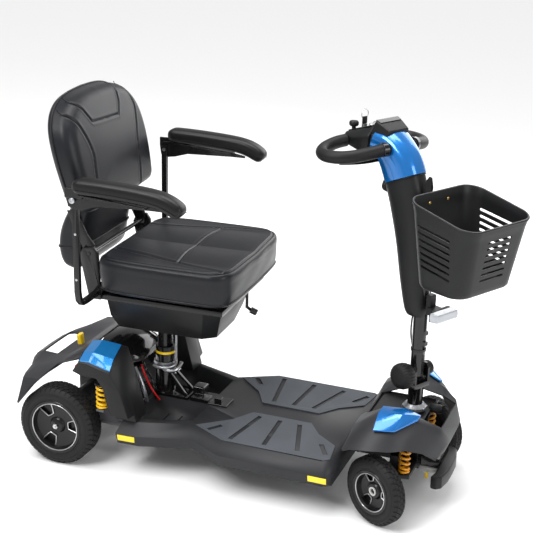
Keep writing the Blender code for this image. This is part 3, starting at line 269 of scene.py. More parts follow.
def tube_bm(pts, r, n=12, closed=False, bm=None, flat=1.0, radii=None):
    P = [Vector(p) for p in pts]
    m = len(P)
    rings = []
    up = None
    for i in range(m):
        if closed:
            d = (P[(i + 1) % m] - P[(i - 1) % m]).normalized()
        else:
            d = (P[min(i + 1, m - 1)] - P[max(i - 1, 0)]).normalized()
        if up is None:
            up = Vector((0, 0, 1)) if abs(d.z) < 0.9 else Vector((1, 0, 0))
        side = d.cross(up).normalized()
        up = side.cross(d).normalized()
        rr = radii[i] if radii else r
        rings.append([P[i] + side * (rr * math.cos(2 * math.pi * k / n)) + up * (rr * flat * math.sin(2 * math.pi * k / n)) for k in range(n)])
    if closed:
        bm = bm or bmesh.new()
        vs = [[bm.verts.new(p) for p in r_] for r_ in rings]
        for a in range(m):
            A, B = vs[a], vs[(a + 1) % m]
            for i in range(n):
                j = (i + 1) % n
                bm.faces.new((A[i], A[j], B[j], B[i]))
        return bm
    return loft_bm(rings, bm=bm)


def lathe_bm(prof, axis='Z', c=(0, 0, 0), n=64, bm=None):
    """Closed turned body: profile of (radius, height)."""
    bm = bm or bmesh.new()
    rings = []
    for r, h in prof:
        if r < 1e-6:
            rings.append([bm.verts.new(place(axis, 0, 0, h, c))])
        else:
            rings.append([bm.verts.new(place(axis, r * math.cos(2 * math.pi * k / n), r * math.sin(2 * math.pi * k / n), h, c)) for k in range(n)])
    seq = list(zip(rings[:-1], rings[1:]))
    if prof[0][0] > 1e-6 and prof[-1][0] > 1e-6 and prof[0] != prof[-1]:
        seq.append((rings[-1], rings[0]))
    for a, b in seq:
        for k in range(n):
            j = (k + 1) % n
            if len(a) == 1 and len(b) == 1:
                continue
            if len(a) == 1:
                bm.faces.new((a[0], b[j], b[k]))
            elif len(b) == 1:
                bm.faces.new((a[k], a[j], b[0]))
            else:
                bm.faces.new((a[k], a[j], b[j], b[k]))
    return bm


def place(axis, u, v, h, c):
    if axis == 'Z':
        return (c[0] + u, c[1] + v, c[2] + h)
    if axis == 'Y':
        return (c[0] + u, c[1] + h, c[2] + v)
    return (c[0] + h, c[1] + u, c[2] + v)


def groove(co, nrm, line, width, depth):
    """Push points near a polyline inwards along -nrm; co, nrm are arrays (n,3)."""
    L = np.array(line, float)
    best = np.full(len(co), 1e9)
    for a, b in zip(L[:-1], L[1:]):
        d = b - a
        t = np.clip(((co - a) @ d) / (d @ d), 0, 1)
        best = np.minimum(best, np.linalg.norm(co - a - t[:, None] * d, axis=1))
    return co - nrm * (depth * np.exp(-(best / width) ** 2))[:, None], best


def vertex_normals(me):
    n = np.zeros(len(me.vertices) * 3, np.float32)
    me.vertices.foreach_get("normal", n)
    return n.reshape(-1, 3).astype(float)


def get_co(me):
    c = np.zeros(len(me.vertices) * 3, np.float32)
    me.vertices.foreach_get("co", c)
    return c.reshape(-1, 3).astype(float)


def set_co(me, c):
    me.vertices.foreach_set("co", c.astype(np.float32).ravel())
    me.update()


# ------------------------------------------------------------------ seat back
def resample(pts, n):
    P = np.array(pts, float)
    d = np.r_[0, np.cumsum(np.linalg.norm(np.diff(np.vstack([P, P[:1]]), axis=0), axis=1))]
    Q = np.vstack([P, P[:1]])
    s = np.linspace(0, d[-1], n, endpoint=False)
    return np.array([[np.interp(v, d, Q[:, k]) for k in range(P.shape[1])] for v in s])


def lean(z):
    return 0.100 - 0.060 * (z - 0.72) / 0.31 - 0.02 * ((z - 0.72) / 0.31) ** 2


half = [(0.0, 0.724), (0.10, 0.724), (0.180, 0.727), (0.204, 0.738), (0.212, 0.760), (0.220, 0.800), (0.226, 0.850), (0.226, 0.895), (0.219, 0.935), (0.203, 0.966), (0.176, 0.991),
        (0.135, 1.010), (0.080, 1.020), (0.0, 1.0235)]
left = catmull([(y, z) for y, z in half], 10)
outl = [tuple(p) for p in left] + [(-p[0], p[1]) for p in reversed(left[1:-1])]
outl = resample(outl, 560)
mid = np.array([0.0, 0.865])
# from the middle of the face out to the edge, round it, and on to the middle of the back
prof = []
for k in range(46):
    t = k / 45
    prof.append((0.004 + 0.845 * t, 0.0))
R0 = 0.150
for k in range(1, 15):
    a = math.pi / 2 * k / 14
    prof.append((0.849 + R0 * math.sin(a), 0.030 * (1 - math.cos(a))))
for k in range(1, 8):
    prof.append((0.999, 0.030 + 0.022 * k / 7))
for k in range(1, 11):
    a = math.pi / 2 * k / 10
    prof.append((0.999 - 0.10 * (1 - math.cos(a)), 0.052 + 0.024 * math.sin(a)))
for k in range(1, 9):
    prof.append((0.899 - 0.895 * k / 8, 0.076))
verts = []
for s_, d_ in prof:
    p = mid + (outl - mid) * s_
    bulge = 0.010 * (1 - min(1.0, (s_ / 0.95) ** 2)) if d_ < 0.03 else 0.0
    for y, z in p:
        verts.append((lean(z) - d_ - 0.001 + bulge, y, z))
n_ = len(outl)
faces = []
for a in range(len(prof) - 1):
    for i in range(n_):
        j = (i + 1) % n_
        faces.append((a * n_ + i, a * n_ + j, (a + 1) * n_ + j, (a + 1) * n_ + i))
faces.append(tuple(range(n_ - 1, -1, -1)))
faces.append(tuple((len(prof) - 1) * n_ + i for i in range(n_)))
me = bpy.data.meshes.new("backrest_pad")
me.from_pydata([tuple(v) for v in verts], [], faces)
me.update()
bm = bmesh.new()
bm.from_mesh(me)
bmesh.ops.recalc_face_normals(bm, faces=bm.faces)
bm.to_mesh(me)
bm.free()
co, nr = get_co(me), vertex_normals(me)
front = nr[:, 0] > 0.15
seams = [
    [(y, z) for y, z in ((-0.196, 0.998), (-0.172, 0.965), (-0.160, 0.945), (-0.146, 0.912), (-0.138, 0.875), (-0.145, 0.835), (-0.152, 0.790), (-0.152, 0.724))],
    [(y, z) for y, z in ((0.150, 1.012), (0.158, 0.978), (0.166, 0.945), (0.150, 0.905), (0.132, 0.868), (0.118, 0.825), (0.106, 0.780), (0.100, 0.724))],
    [(y, z) for y, z in ((-0.150, 1.020), (-0.126, 0.992), (-0.096, 0.951), (-0.050, 0.948), (0.055, 0.943), (0.080, 0.976), (0.092, 1.022))],
]
for s in seams[:2]:
    fine = [tuple(p) for p in catmull(s, 8)]
    l3 = [(lean(z) + 0.004, y, z) for y, z in fine]
    co2 = co.copy()
    l2 = np.array([(0.0, y, z) for y, z in fine])
    flat = co.copy()
    flat[:, 0] = 0
    moved, dist = groove(flat, np.zeros_like(nr), l2, 0.0026, 0)
    w = np.exp(-(dist / 0.0028) ** 2) * 0.0034 - np.exp(-((dist - 0.0065) / 0.004) ** 2) * 0.0007
    co[front] -= (nr * w[:, None])[front]
yk = [p for a, b in zip(seams[2][:-1], seams[2][1:]) for p in (a, b)]
flat = co.copy()
flat[:, 0] = 0
_, dist = groove(flat, np.zeros_like(nr), np.array([(0.0, y, z) for y, z in seams[2]]), 0.0026, 0)
w = np.exp(-(dist / 0.0027) ** 2) * 0.0032 - np.exp(-((dist - 0.0065) / 0.004) ** 2) * 0.0006
co[front] -= (nr * w[:, None])[front]
set_co(me, co)
me.transform(SEAT)
back = new_obj("backrest_cover", me, M["vinyl"], "backrest", ("back_pad",), 60)


def rim_line(s_, d_, x_off=0.0):
    p = mid + (outl - mid) * s_
    return [(lean(z) - d_ + x_off, y, z) for y, z in p]


# piping round the back edge and along the bottom, in the darker vinyl copy: painted shade
bm = tube_bm([SEAT @ Vector(p) for p in rim_line(1.004, 0.056)][::4], 0.0024, 10, True)
from_bm(bm, "back_piping", M["vinyl_painted_shade"], "backrest")
# lower cover, narrower, bulging to the rear
rows = [(0.752, 0.150, 0.066, 0.022), (0.735, 0.154, 0.068, 0.010), (0.712, 0.157, 0.064, -0.012), (0.680, 0.158, 0.056, -0.030), (0.645, 0.158, 0.048, -0.042), (0.610, 0.159, 0.042, -0.045),
        (0.580, 0.157, 0.036, -0.040), (0.560, 0.152, 0.030, -0.030), (0.548, 0.140, 0.022, -0.014)]
rings = []
fine_rows = catmull(rows, 5)
for z, hy, xf, xb in fine_rows:
    ring = []
    N = 64
    cx, hx = (xf + xb) / 2, (xf - xb) / 2
    for k in range(N):
        t = 2 * math.pi * k / N
        c_, s_ = math.cos(t), math.sin(t)
        ring.append(SEAT @ Vector((cx + math.copysign(abs(c_) ** 0.55, c_) * hx, math.copysign(abs(s_) ** 0.35, s_) * hy, z)))
    rings.append(ring)
lower = from_bm(loft_bm(rings), "backrest_lower_cover", M["vinyl"], "backrest", smooth=60)
# piping round the lower cover, in the darker vinyl copy: painted shade
for zz, hy, xf, xb in ((0.618, 0.1600, 0.0440, -0.0455), (0.722, 0.157, 0.0665, -0.006)):
    pts = []
    cx, hx = (xf + xb) / 2, (xf - xb) / 2
    for k in range(72):
        t = 2 * math.pi * k / 72
        c_, s_ = math.cos(t), math.sin(t)
        pts.append(SEAT @ Vector((cx + math.copysign(abs(c_) ** 0.55, c_) * (hx + 0.0005), math.copysign(abs(s_) ** 0.35, s_) * (hy + 0.0005), zz - 0.006 * (1 - c_) if zz < 0.65 else zz)))
    from_bm(tube_bm(pts, 0.0022, 8, True), "cover_piping_%d" % int(zz * 1000), M["vinyl_painted_shade"], "backrest")
# seam threads
for i, s in enumerate(seams):
    fine = catmull(s, 8) if i < 2 else [np.array(a) * (1 - t) + np.array(b) * t for a, b in zip(s[:-1], s[1:]) for t in np.linspace(0, 1, 8)]
    pts = []
    for y, z in fine:
        rad = np.linalg.norm(np.array([y, z]) - mid)
        k = np.argmin(abs(np.arctan2(outl[:, 1] - mid[1], outl[:, 0]) - math.atan2(z - mid[1], y)))
        s_ = rad / np.linalg.norm(outl[k] - mid)
        dd = 0.0
        if s_ > 0.849:
            a = math.asin(min(1.0, (s_ - 0.849) / R0))
            dd = 0.030 * (1 - math.cos(a))
        pts.append(SEAT @ Vector((lean(z) - dd - 0.001 + 0.010 * (1 - min(1.0, (s_ / 0.95) ** 2)) - 0.0031, y, z)))
    from_bm(tube_bm(pts, 0.0010, 6), "back_seam_%d" % i, M["seam"], "backrest")


# ------------------------------------------------------------------ seat cushion
def cushion():
    n = 520
    x0, x1, hy = 0.102, 0.490, 0.222
    half = [(x0, 0.0), (x0, 0.15), (x0 + 0.004, 0.185), (x0 + 0.022, 0.208), (x0 + 0.060, 0.218), (0.22, 0.2225), (0.32, 0.2235), (0.42, 0.2215), (0.452, 0.214), (0.474, 0.196), (0.484, 0.165), (0.4885, 0.09), (0.490, 0.0)]
    a = catmull([(x, y) for x, y in half], 10)
    o = [tuple(p) for p in a] + [(p[0], -p[1]) for p in reversed(a[1:-1])]
    o = resample(o, n)
    c = np.array([0.30, 0.0])
    pr = []
    for k in range(60):
        pr.append((0.004 + 0.916 * k / 59, 0.0))
    for k in range(1, 13):
        t = math.pi / 2 * k / 12
        pr.append((0.920 + 0.080 * math.sin(t), -0.020 * (1 - math.cos(t))))
    for k in range(1, 15):
        t = k / 14
        pr.append((1.0 + 0.006 * math.sin(math.pi * t) - 0.012 * t, -0.020 - 0.064 * t))
    for k in range(1, 9):
        t = math.pi / 2 * k / 8
        pr.append((0.988 - 0.07 * (1 - math.cos(t)), -0.084 - 0.014 * math.sin(t)))
    pr.append((0.5, -0.0985))
    pr.append((0.004, -0.0985))
    vs = []
    for s_, d in pr:
        p = c + (o - c) * s_
        for x, y in p:
            z = 0.614 + d
            if d > -0.03:
                u = min(1.0, abs(y) / 0.222)
                v = (x - x0) / (x1 - x0)
                k_ = 1.0 - min(1.0, s_) ** 6
                z += k_ * (0.009 * math.sin(math.pi * min(1.0, u / 0.70)) * 0.5 - 0.004 * (1 - u) + 0.006 * max(0.0, v - 0.5) - 0.004 * max(0.0, 0.5 - v))
            vs.append((x, y, z))
    fs = []
    for a_ in range(len(pr) - 1):
        for i in range(n):
            j = (i + 1) % n
            fs.append((a_ * n + i, a_ * n + j, (a_ + 1) * n + j, (a_ + 1) * n + i))
    fs.append(tuple(range(n - 1, -1, -1)))
    fs.append(tuple((len(pr) - 1) * n + i for i in range(n)))
    me = bpy.data.meshes.new("seat_cushion_cover")
    me.from_pydata(vs, [], fs)
    me.update()
    bm = bmesh.new()
    bm.from_mesh(me)
    bmesh.ops.recalc_face_normals(bm, faces=bm.faces)
    bm.to_mesh(me)
    bm.free()
    co, nr = get_co(me), vertex_normals(me)
    # perimeter seam just inside the top edge, bolster seams front to back and a cross seam
    P = c + (o - c) * 0.955
    lines = [np.vstack([P, P[:1]]), np.array(catmull([(0.120, -0.118), (0.20, -0.132), (0.30, -0.158), (0.38, -0.178), (0.455, -0.190)], 8)),
             np.array(catmull([(0.120, 0.118), (0.20, 0.132), (0.30, 0.158), (0.38, 0.178), (0.455, 0.190)], 8)),
             np.array(catmull([(0.322, -0.160), (0.313, -0.08), (0.310, 0.0), (0.313, 0.08), (0.322, 0.160)], 8))]
    top = co[:, 2] > 0.585
    for k, l in enumerate(lines):
        f2 = co.copy()
        f2[:, 2] = 0
        _, dist = groove(f2, np.zeros_like(nr), np.array([(x, y, 0.0) for x, y in l]), 1, 0)
        w = np.exp(-(dist / 0.0029) ** 2) * (0.0036 if k else 0.0028) - np.exp(-((dist - 0.008) / 0.006) ** 2) * 0.0009
        co[top] -= (nr * w[:, None])[top]
    # a few soft wrinkles on the side walls
    side = (co[:, 2] < 0.600) & (co[:, 2] > 0.520)
    wv = 0.0007 * np.sin(co[:, 0] * 61 + 3 * np.sin(co[:, 2] * 40)) * np.sin(co[:, 1] * 47 + 1.3)
    co[side] += (nr * wv[:, None])[side]
    set_co(me, co)
    me.transform(SEAT)
    cu = new_obj("seat_cushion_cover", me, M["vinyl"], "seat", ("seat_cushion",), 60)
    for k, l in enumerate(lines):
        zz = [0.6095] if k == 0 else None
        pts = []
        for x, y in (l[:-1:3] if k == 0 else l):
            hit, loc, nor, idx = cu.ray_cast(cu.matrix_world.inverted() @ (SEAT @ Vector((x, y, 0.70))), Vector((0, 0, -1)))
            if hit:
                pts.append((cu.matrix_world @ loc) + Vector((0, 0, 0.0004)))
        from_bm(tube_bm(pts, 0.0010, 6, closed=(k == 0)), "cushion_seam_%d" % k, M["seam"], "seat")
    # piping where the side wall meets the underside, in the darker vinyl copy: painted shade
    P = c + (o - c) * 0.990
    from_bm(tube_bm([SEAT @ Vector((x, y, 0.5265)) for x, y in P[::4]], 0.0022, 8, True), "cushion_piping", M["vinyl_painted_shade"], "seat")
    return cu


bpy.context.view_layer.update()
cu = cushion()

# ------------------------------------------------------------------ armrests
for nm, s in SIDES:
    body = "armrest_l" if s > 0 else "armrest_r"
    yc = s * 0.302
    # top edge and bottom edge of the pad along its length
    path = [(0.098, 0.836, 0.006), (0.101, 0.836, 0.013), (0.110, 0.836, 0.0185), (0.125, 0.836, 0.0208), (0.180, 0.8350, 0.0212), (0.240, 0.8325, 0.0214), (0.300, 0.8280, 0.0216), (0.335, 0.8225, 0.0218),
            (0.358, 0.8150, 0.0218), (0.376, 0.8060, 0.0210), (0.388, 0.7990, 0.0180), (0.3945, 0.7950, 0.0110), (0.3965, 0.7935, 0.0040)]
    fine = catmull(path, 5)
    rings = []
    for i, (x, z, h) in enumerate(fine):
        a = fine[max(i - 1, 0)]
        b = fine[min(i + 1, len(fine) - 1)]
        d = Vector((b[0] - a[0], 0, b[1] - a[1])).normalized()
        nz = Vector((-d.z, 0, d.x))
        hw = 0.0255 * min(1.0, (h / 0.020) ** 0.6)
        ring = []
        for k in range(28):
            t = 2 * math.pi * k / 28
            c_, s__ = math.cos(t), math.sin(t)
            u = math.copysign(abs(c_) ** 0.62, c_) * hw
            v = math.copysign(abs(s__) ** 0.70, s__) * h
            ring.append(SEAT @ (Vector((x, yc, z)) + nz * v + Vector((0, u, 0))))
        rings.append(ring)
    pad = from_bm(loft_bm(rings), "arm_pad_" + nm, M["pad"], body, replaces=("armrest_" + nm,), smooth=50)
    # seam round the pad at half height
    pts_l, pts_r = [], []
    for x, z, h in fine[2:-2]:
        pts_l.append(SEAT @ Vector((x, yc - 0.0262, z - h * 0.35)))
        pts_r.append(SEAT @ Vector((x, yc + 0.0262, z - h * 0.35)))
    bm = tube_bm(pts_l, 0.0008, 6)
    tube_bm(pts_r, 0.0008, 6, bm=bm)
    from_bm(bm, "arm_seam_" + nm, M["seam"], body)
    # bracket: side plate, shelf under the pad and the pivot bolt
    bm = bmesh.new()
    y0, y1 = s * 0.2915, s * 0.2965
    pl = [(0.074, 0.776), (0.070, 0.806), (0.082, 0.8150), (0.118, 0.8165), (0.300, 0.8030), (0.340, 0.7960), (0.340, 0.7900), (0.300, 0.7900), (0.160, 0.7840), (0.120, 0.772), (0.094, 0.768)]
    va = [bm.verts.new(SEAT @ Vector((x, y0, z))) for x, z in pl]
    vb = [bm.verts.new(SEAT @ Vector((x, y1, z))) for x, z in pl]
    bm.faces.new(va)
    bm.faces.new(list(reversed(vb)))
    for i in range(len(pl)):
        j = (i + 1) % len(pl)
        bm.faces.new((va[i], vb[i], vb[j], va[j]))
    from_bm(bm, "arm_plate_" + nm, M["frame"], body, bevel=0.0012)
    bm = loft_bm([[SEAT @ Vector((0.112, s * a, z)) for a, z in ((0.288, 0.8105), (0.3165, 0.8105), (0.3165, 0.8150), (0.288, 0.8150))],
                  [SEAT @ Vector((0.300, s * a, z)) for a, z in ((0.288, 0.7960), (0.3165, 0.7960), (0.3165, 0.8010), (0.288, 0.8010))]])
    from_bm(bm, "arm_shelf_" + nm, M["frame"], body, bevel=0.0008)
    # guard around the pivot, behind the pad
    bm = bmesh.new()
    box_bm(bm, (0.068, s * 0.2995 - 0.0035, 0.800), (0.118, s * 0.2995 + 0.0035, 0.826))
    from_bm(bm, "arm_guard_" + nm, M["frame"], body, T=SEAT, bevel=0.002)
    bm = lathe_bm([(0, s * -0.0030), (0.0062, s * -0.0030), (0.0078, 0), (0.0078, s * 0.004), (0.0045, s * 0.0055), (0.0045, s * 0.0040), (0, s * 0.0040)], 'Y', (0.090, s * 0.3015, 0.794), 24)
    lathe_bm([(0, 0), (0.0050, 0), (0.0050, s * 0.024), (0, s * 0.024)], 'Y', (0.090, s * 0.2765, 0.794), 20, bm)
    from_bm(bm, "arm_pivot_" + nm, M["steel"], body, T=SEAT)
    refine("armrest_tube_" + nm, 0.0022, M["frame"], 3)
    bm = bmesh.new()
    for zz in (0.575, 0.70):
        lathe_bm([(0, s * 0.0), (0.0036, s * 0.0), (0.0036, s * 0.0012), (0.002, s * 0.0019), (0, s * 0.0019)], 'Y', (0.090, s * 0.2902, zz), 16, bm)
    from_bm(bm, "tube_screw_" + nm, M["steel"], "arm_support_left" if s > 0 else "arm_support_right", T=SEAT)

# ------------------------------------------------------------------ wheels


def ucurve(rr, a, y, s, r0, r1, h0, h1):
    """The silver outline of a pocket, open at the outside."""
    pts = [(r1, -h1), (r0 + 0.004, -h0 - 0.001), (r0, -h0 + 0.003), (r0, h0 - 0.003), (r0 + 0.004, h0 + 0.001), (r1, h1)]
    out = []
    for rad, hh in pts:
        out.append((rad * math.cos(a) - hh * math.sin(a), y, rad * math.sin(a) + hh * math.cos(a)))
    return out


def wheel(tag, s, R, rr, w, f, T, body, phase, front):
    c = (0, 0, R)
    g = rr + 0.0003
    Rb = R - 0.0022
    tp = [(g, f - 0.0015), (g + 0.004, f + 0.0006), (g + (R - g) * 0.30, f + 0.0012), (g + (R - g) * 0.60, f - 0.0006), (Rb - 0.006, f - 0.0060), (Rb - 0.001, f - 0.012), (Rb, f - 0.018),
          (Rb, f - w + 0.018), (Rb - 0.001, f - w + 0.012), (Rb - 0.006, f - w + 0.006), (g + (R - g) * 0.6, f - w + 0.0012), (g, f - w + 0.003)]
    bm = lathe_bm([(r, h * s) for r, h in tp], 'Y', c, 96)
    tyre = from_bm(bm, "tyre_" + tag + "_body", M["tyre"], body, T=T, replaces=("tyre_" + tag,), smooth=50)
    # tread: rows of blocks round the crown and lugs down the shoulders
    bm = bmesh.new()
    N = 44 if not front else 36
    rows = 4 if not front else 3
    crown = w - 0.022
    bw = crown / rows
    for row in range(rows):
        yc = f - 0.011 - bw * (row + 0.5)
        for k in range(N):
            a0 = 2 * math.pi * (k + 0.5 * (row % 2)) / N
            half_a = 2 * math.pi / N * 0.40
            skew = 0.10 * (2 * math.pi / N) * (1 if row < rows / 2 else -1)
            vs = []
            for rad in (Rb - 0.0008, R - 0.0001):
                for ia, sa in ((-1, -1), (1, -1), (1, 1), (-1, 1)):
                    a = a0 + ia * half_a + sa * skew
                    y = (yc + sa * bw * 0.43) * s
                    vs.append(bm.verts.new((rad * math.cos(a), y, R + rad * math.sin(a))))
            for q in ((0, 1, 2, 3), (4, 5, 6, 7), (0, 1, 5, 4), (1, 2, 6, 5), (2, 3, 7, 6), (3, 0, 4, 7)):
                bm.faces.new([vs[i] for i in q])
    for side_ in (0, 1):
        for k in range(N):
            a0 = 2 * math.pi * (k + 0.25) / N
            half_a = 2 * math.pi / N * 0.36
            if side_ == 0:
                sec = [(Rb + 0.0010, f - 0.0125), (Rb - 0.0042, f - 0.0056), (Rb - 0.0115, f - 0.0022)]
                inn = [(Rb - 0.0020, f - 0.0135), (Rb - 0.0070, f - 0.0075), (Rb - 0.0120, f - 0.0048)]
            else:
                sec = [(Rb + 0.0010, f - w + 0.0125), (Rb - 0.0042, f - w + 0.0056), (Rb - 0.0115, f - w + 0.0030)]
                inn = [(Rb - 0.0020, f - w + 0.0135), (Rb - 0.0070, f - w + 0.0075), (Rb - 0.0120, f - w + 0.0055)]
            A = []
            for ia in (-1, 1):
                a = a0 + ia * half_a
                A.append([bm.verts.new((r * math.cos(a), y * s, R + r * math.sin(a))) for r, y in sec + inn[::-1]])
            bm.faces.new(A[0])
            bm.faces.new(list(reversed(A[1])))
            for i in range(6):
                j = (i + 1) % 6
                bm.faces.new((A[0][i], A[1][i], A[1][j], A[0][j]))
    from_bm(bm, "tread_" + tag, M["tyre"], body, T=T, smooth=30)
    # fine ring lines on the side wall
    bm = bmesh.new()
    for rad, yy in ((g + 0.0045, f + 0.0006), (g + (R - g) * 0.55, f - 0.0002)):
        tube_bm([(rad * math.cos(t), yy * s, R + rad * math.sin(t)) for t in np.linspace(0, 2 * math.pi, 96, endpoint=False)], 0.0007, 6, True, bm=bm)
    from_bm(bm, "tyre_rings_" + tag, M["tyre"], body, T=T)
    # rim
    wi = w - 0.0035
    d = 0.019
    pr = [(rr - 0.0070, f - 0.0002), (rr - 0.0010, f - 0.0002), (rr, f - 0.0012), (rr, f - wi), (rr - 0.0045, f - wi), (rr - 0.0055, f - wi * 0.62), (0.021, f - wi * 0.60), (0.020, f - wi * 0.92), (0.0105, f - wi * 0.92),
          (0.0105, f - 0.014), (0.019, f - 0.0135), (0.0215, f - 0.0160), (0.0240, f - d - 0.001), (rr * 0.62, f - d - 0.0015), (rr - 0.0150, f - d + 0.0020), (rr - 0.0105, f - 0.0080), (rr - 0.0085, f - 0.0018)]
    bm = lathe_bm([(r, h * s) for r, h in pr], 'Y', c, 96)
    bmesh.ops.recalc_face_normals(bm, faces=bm.faces)
    me = bpy.data.meshes.new("rim_tmp")
    bm.to_mesh(me)
    bm.free()
    rim = bpy.data.objects.new("rim_tmp", me)
    bpy.context.scene.collection.objects.link(rim)
    cb = bmesh.new()
    r0, r1, h0, h1 = rr * 0.43, rr * 0.83, rr * 0.135, rr * 0.27
    for k in range(3):
        a = math.radians(phase + 120 * k) * -s
        q = []
        for rad, hh in ((r0, -h0), (r1, -h1), (r1, h1), (r0, h0)):
            q.append((rad * math.cos(a) - hh * math.sin(a), rad * math.sin(a) + hh * math.cos(a)))
        va = [cb.verts.new((x, (f - 0.010) * s, R + z)) for x, z in q]
        vb = [cb.verts.new((x, (f - 0.0265) * s, R + z)) for x, z in q]
        cb.faces.new(va)
        cb.faces.new(list(reversed(vb)))
        for i in range(4):
            j = (i + 1) % 4
            cb.faces.new((va[i], vb[i], vb[j], va[j]))
    bmesh.ops.recalc_face_normals(cb, faces=cb.faces)
    cm = bpy.data.meshes.new("cut_tmp")
    cb.to_mesh(cm)
    cb.free()
    cut = bpy.data.objects.new("cut_tmp", cm)
    bpy.context.scene.collection.objects.link(cut)
    bo = rim.modifiers.new("b", 'BOOLEAN')
    bo.object = cut
    bo.solver = 'EXACT'
    bpy.context.view_layer.update()
    res = bpy.data.meshes.new_from_object(rim.evaluated_get(bpy.context.evaluated_depsgraph_get()))
    bpy.data.objects.remove(rim)
    bpy.data.objects.remove(cut)
    res.transform(T)
    ro = new_obj("rim_%s_body" % tag, res, M["rim"], body, ("rim_" + tag,), 35)
    bm = bmesh.new()
    for k in range(3):
        a = math.radians(phase + 120 * k) * -s
        pts = [(x, y, R + z) for x, y, z in ucurve(rr, a, (f - d + 0.0006) * s, s, r0, rr * 0.86, h0, h1 * 1.04)]
        tube_bm([tuple(p) for p in catmull(pts, 4)], 0.0017 if not front else 0.0014, 8, bm=bm)
    rad = rr - 0.0092
    tube_bm([(rad * math.cos(t), (f - 0.0018) * s, R + rad * math.sin(t)) for t in np.linspace(0, 2 * math.pi, 96, endpoint=False)], 0.0014, 8, True, bm=bm)
    from_bm(bm, "rim_lines_" + tag, M["silver"], body, T=T)
    if front:
        bm = lathe_bm([(0.0072, (f - 0.0145) * s), (0.0115, (f - 0.0145) * s), (0.0120, (f - 0.0105) * s), (0.0105, (f - 0.0095) * s), (0.0085, (f - 0.0095) * s), (0.0072, (f - 0.0120) * s)], 'Y', c, 40)
        from_bm(bm, "hub_ring_" + tag, M["pale"], body, T=T)
        bm = lathe_bm([(0, (f - 0.0190) * s), (0.0045, (f - 0.0190) * s), (0.0045, (f - 0.0130) * s), (0.0036, (f - 0.0120) * s), (0, (f - 0.0120) * s)], 'Y', c, 24)
        from_bm(bm, "axle_end_" + tag, M["drive"], body, T=T)
    else:
        bm = lathe_bm([(0, (f - 0.0140) * s), (0.0180, (f - 0.0140) * s), (0.0180, (f - 0.0125) * s), (0.0120, (f - 0.0095) * s), (0.0090, (f - 0.0090) * s), (0, (f - 0.0090) * s)], 'Y', c, 48)
        from_bm(bm, "hub_cap_" + tag, M["rim"], body, T=T, smooth=30)
        bm = lathe_bm([(0, (f - 0.0090) * s), (0.0078, (f - 0.0090) * s), (0.0078, (f - 0.0040) * s), (0.0060, (f - 0.0028) * s), (0, (f - 0.0028) * s)], 'Y', c, 6)
        lathe_bm([(0, (f - 0.0030) * s), (0.0040, (f - 0.0030) * s), (0.0036, (f - 0.0002) * s), (0, (f - 0.0002) * s)], 'Y', c, 24, bm)
        from_bm(bm, "hub_nut_" + tag, M["silver"], body, T=T, smooth=30)


for nm, s in SIDES:
    wheel("rear_" + nm, s, 0.1143, 0.0790, 0.0745, 0.2668, ROW, "rear_wheel_" + nm, 5, False)
    wheel("front_" + nm, s, 0.0931, 0.0605, 0.048, 0.0794, KNU[s], "front_wheel_" + nm, -3, True)

# ------------------------------------------------------------------ springs


def helix(r, wire, z0, z1, turns, c, s):
    pts = []
    n = int(turns * 20)
    for i in range(n + 1):
        t = i / n
        a = 2 * math.pi * turns * t * s
        e = min(1.0, max(0.0, (t * turns - 0.6) / (turns - 1.2)))
        z = z0 + wire + (z1 - z0 - 2 * wire) * (0.10 * t + 0.90 * e)
        pts.append((c[0] + r * math.cos(a), c[1] + r * math.sin(a), z))
    return tube_bm(pts, wire, 10)


for nm, s in SIDES:
    c = (0.124, s * 0.2150)
    sp = from_bm(helix(0.0135, 0.0038, 0.1785, 0.2515, 5.6, c, s), "coil_rear_" + nm, M["spring_y"], "chassis", T=ROW, replaces=("rear_spring_" + nm,))
    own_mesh(sp)
    bm = lathe_bm([(0, 0.205), (0.0062, 0.205), (0.0062, 0.2515), (0, 0.2515)], 'Z', (c[0], c[1], 0), 20)
    lathe_bm([(0, 0.2465), (0.0185, 0.2465), (0.0195, 0.2490), (0.0195, 0.2520), (0, 0.2520)], 'Z', (c[0], c[1], 0), 32, bm)
    from_bm(bm, "damper_rear_" + nm, M["drive"], "chassis", T=ROW)
    c = (0.966, s * 0.135)
    sp = from_bm(helix(0.0128, 0.0034, 0.1230, 0.2003, 5.8, c, s), "coil_front_" + nm, M["spring_o"], "chassis", T=ROW, replaces=("front_spring_" + nm,))
    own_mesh(sp)
    bm = lathe_bm([(0, 0.150), (0.0058, 0.150), (0.0058, 0.2005), (0, 0.2005)], 'Z', (c[0], c[1], 0), 20)
    from_bm(bm, "damper_front_" + nm, M["drive"], "chassis", T=ROW)
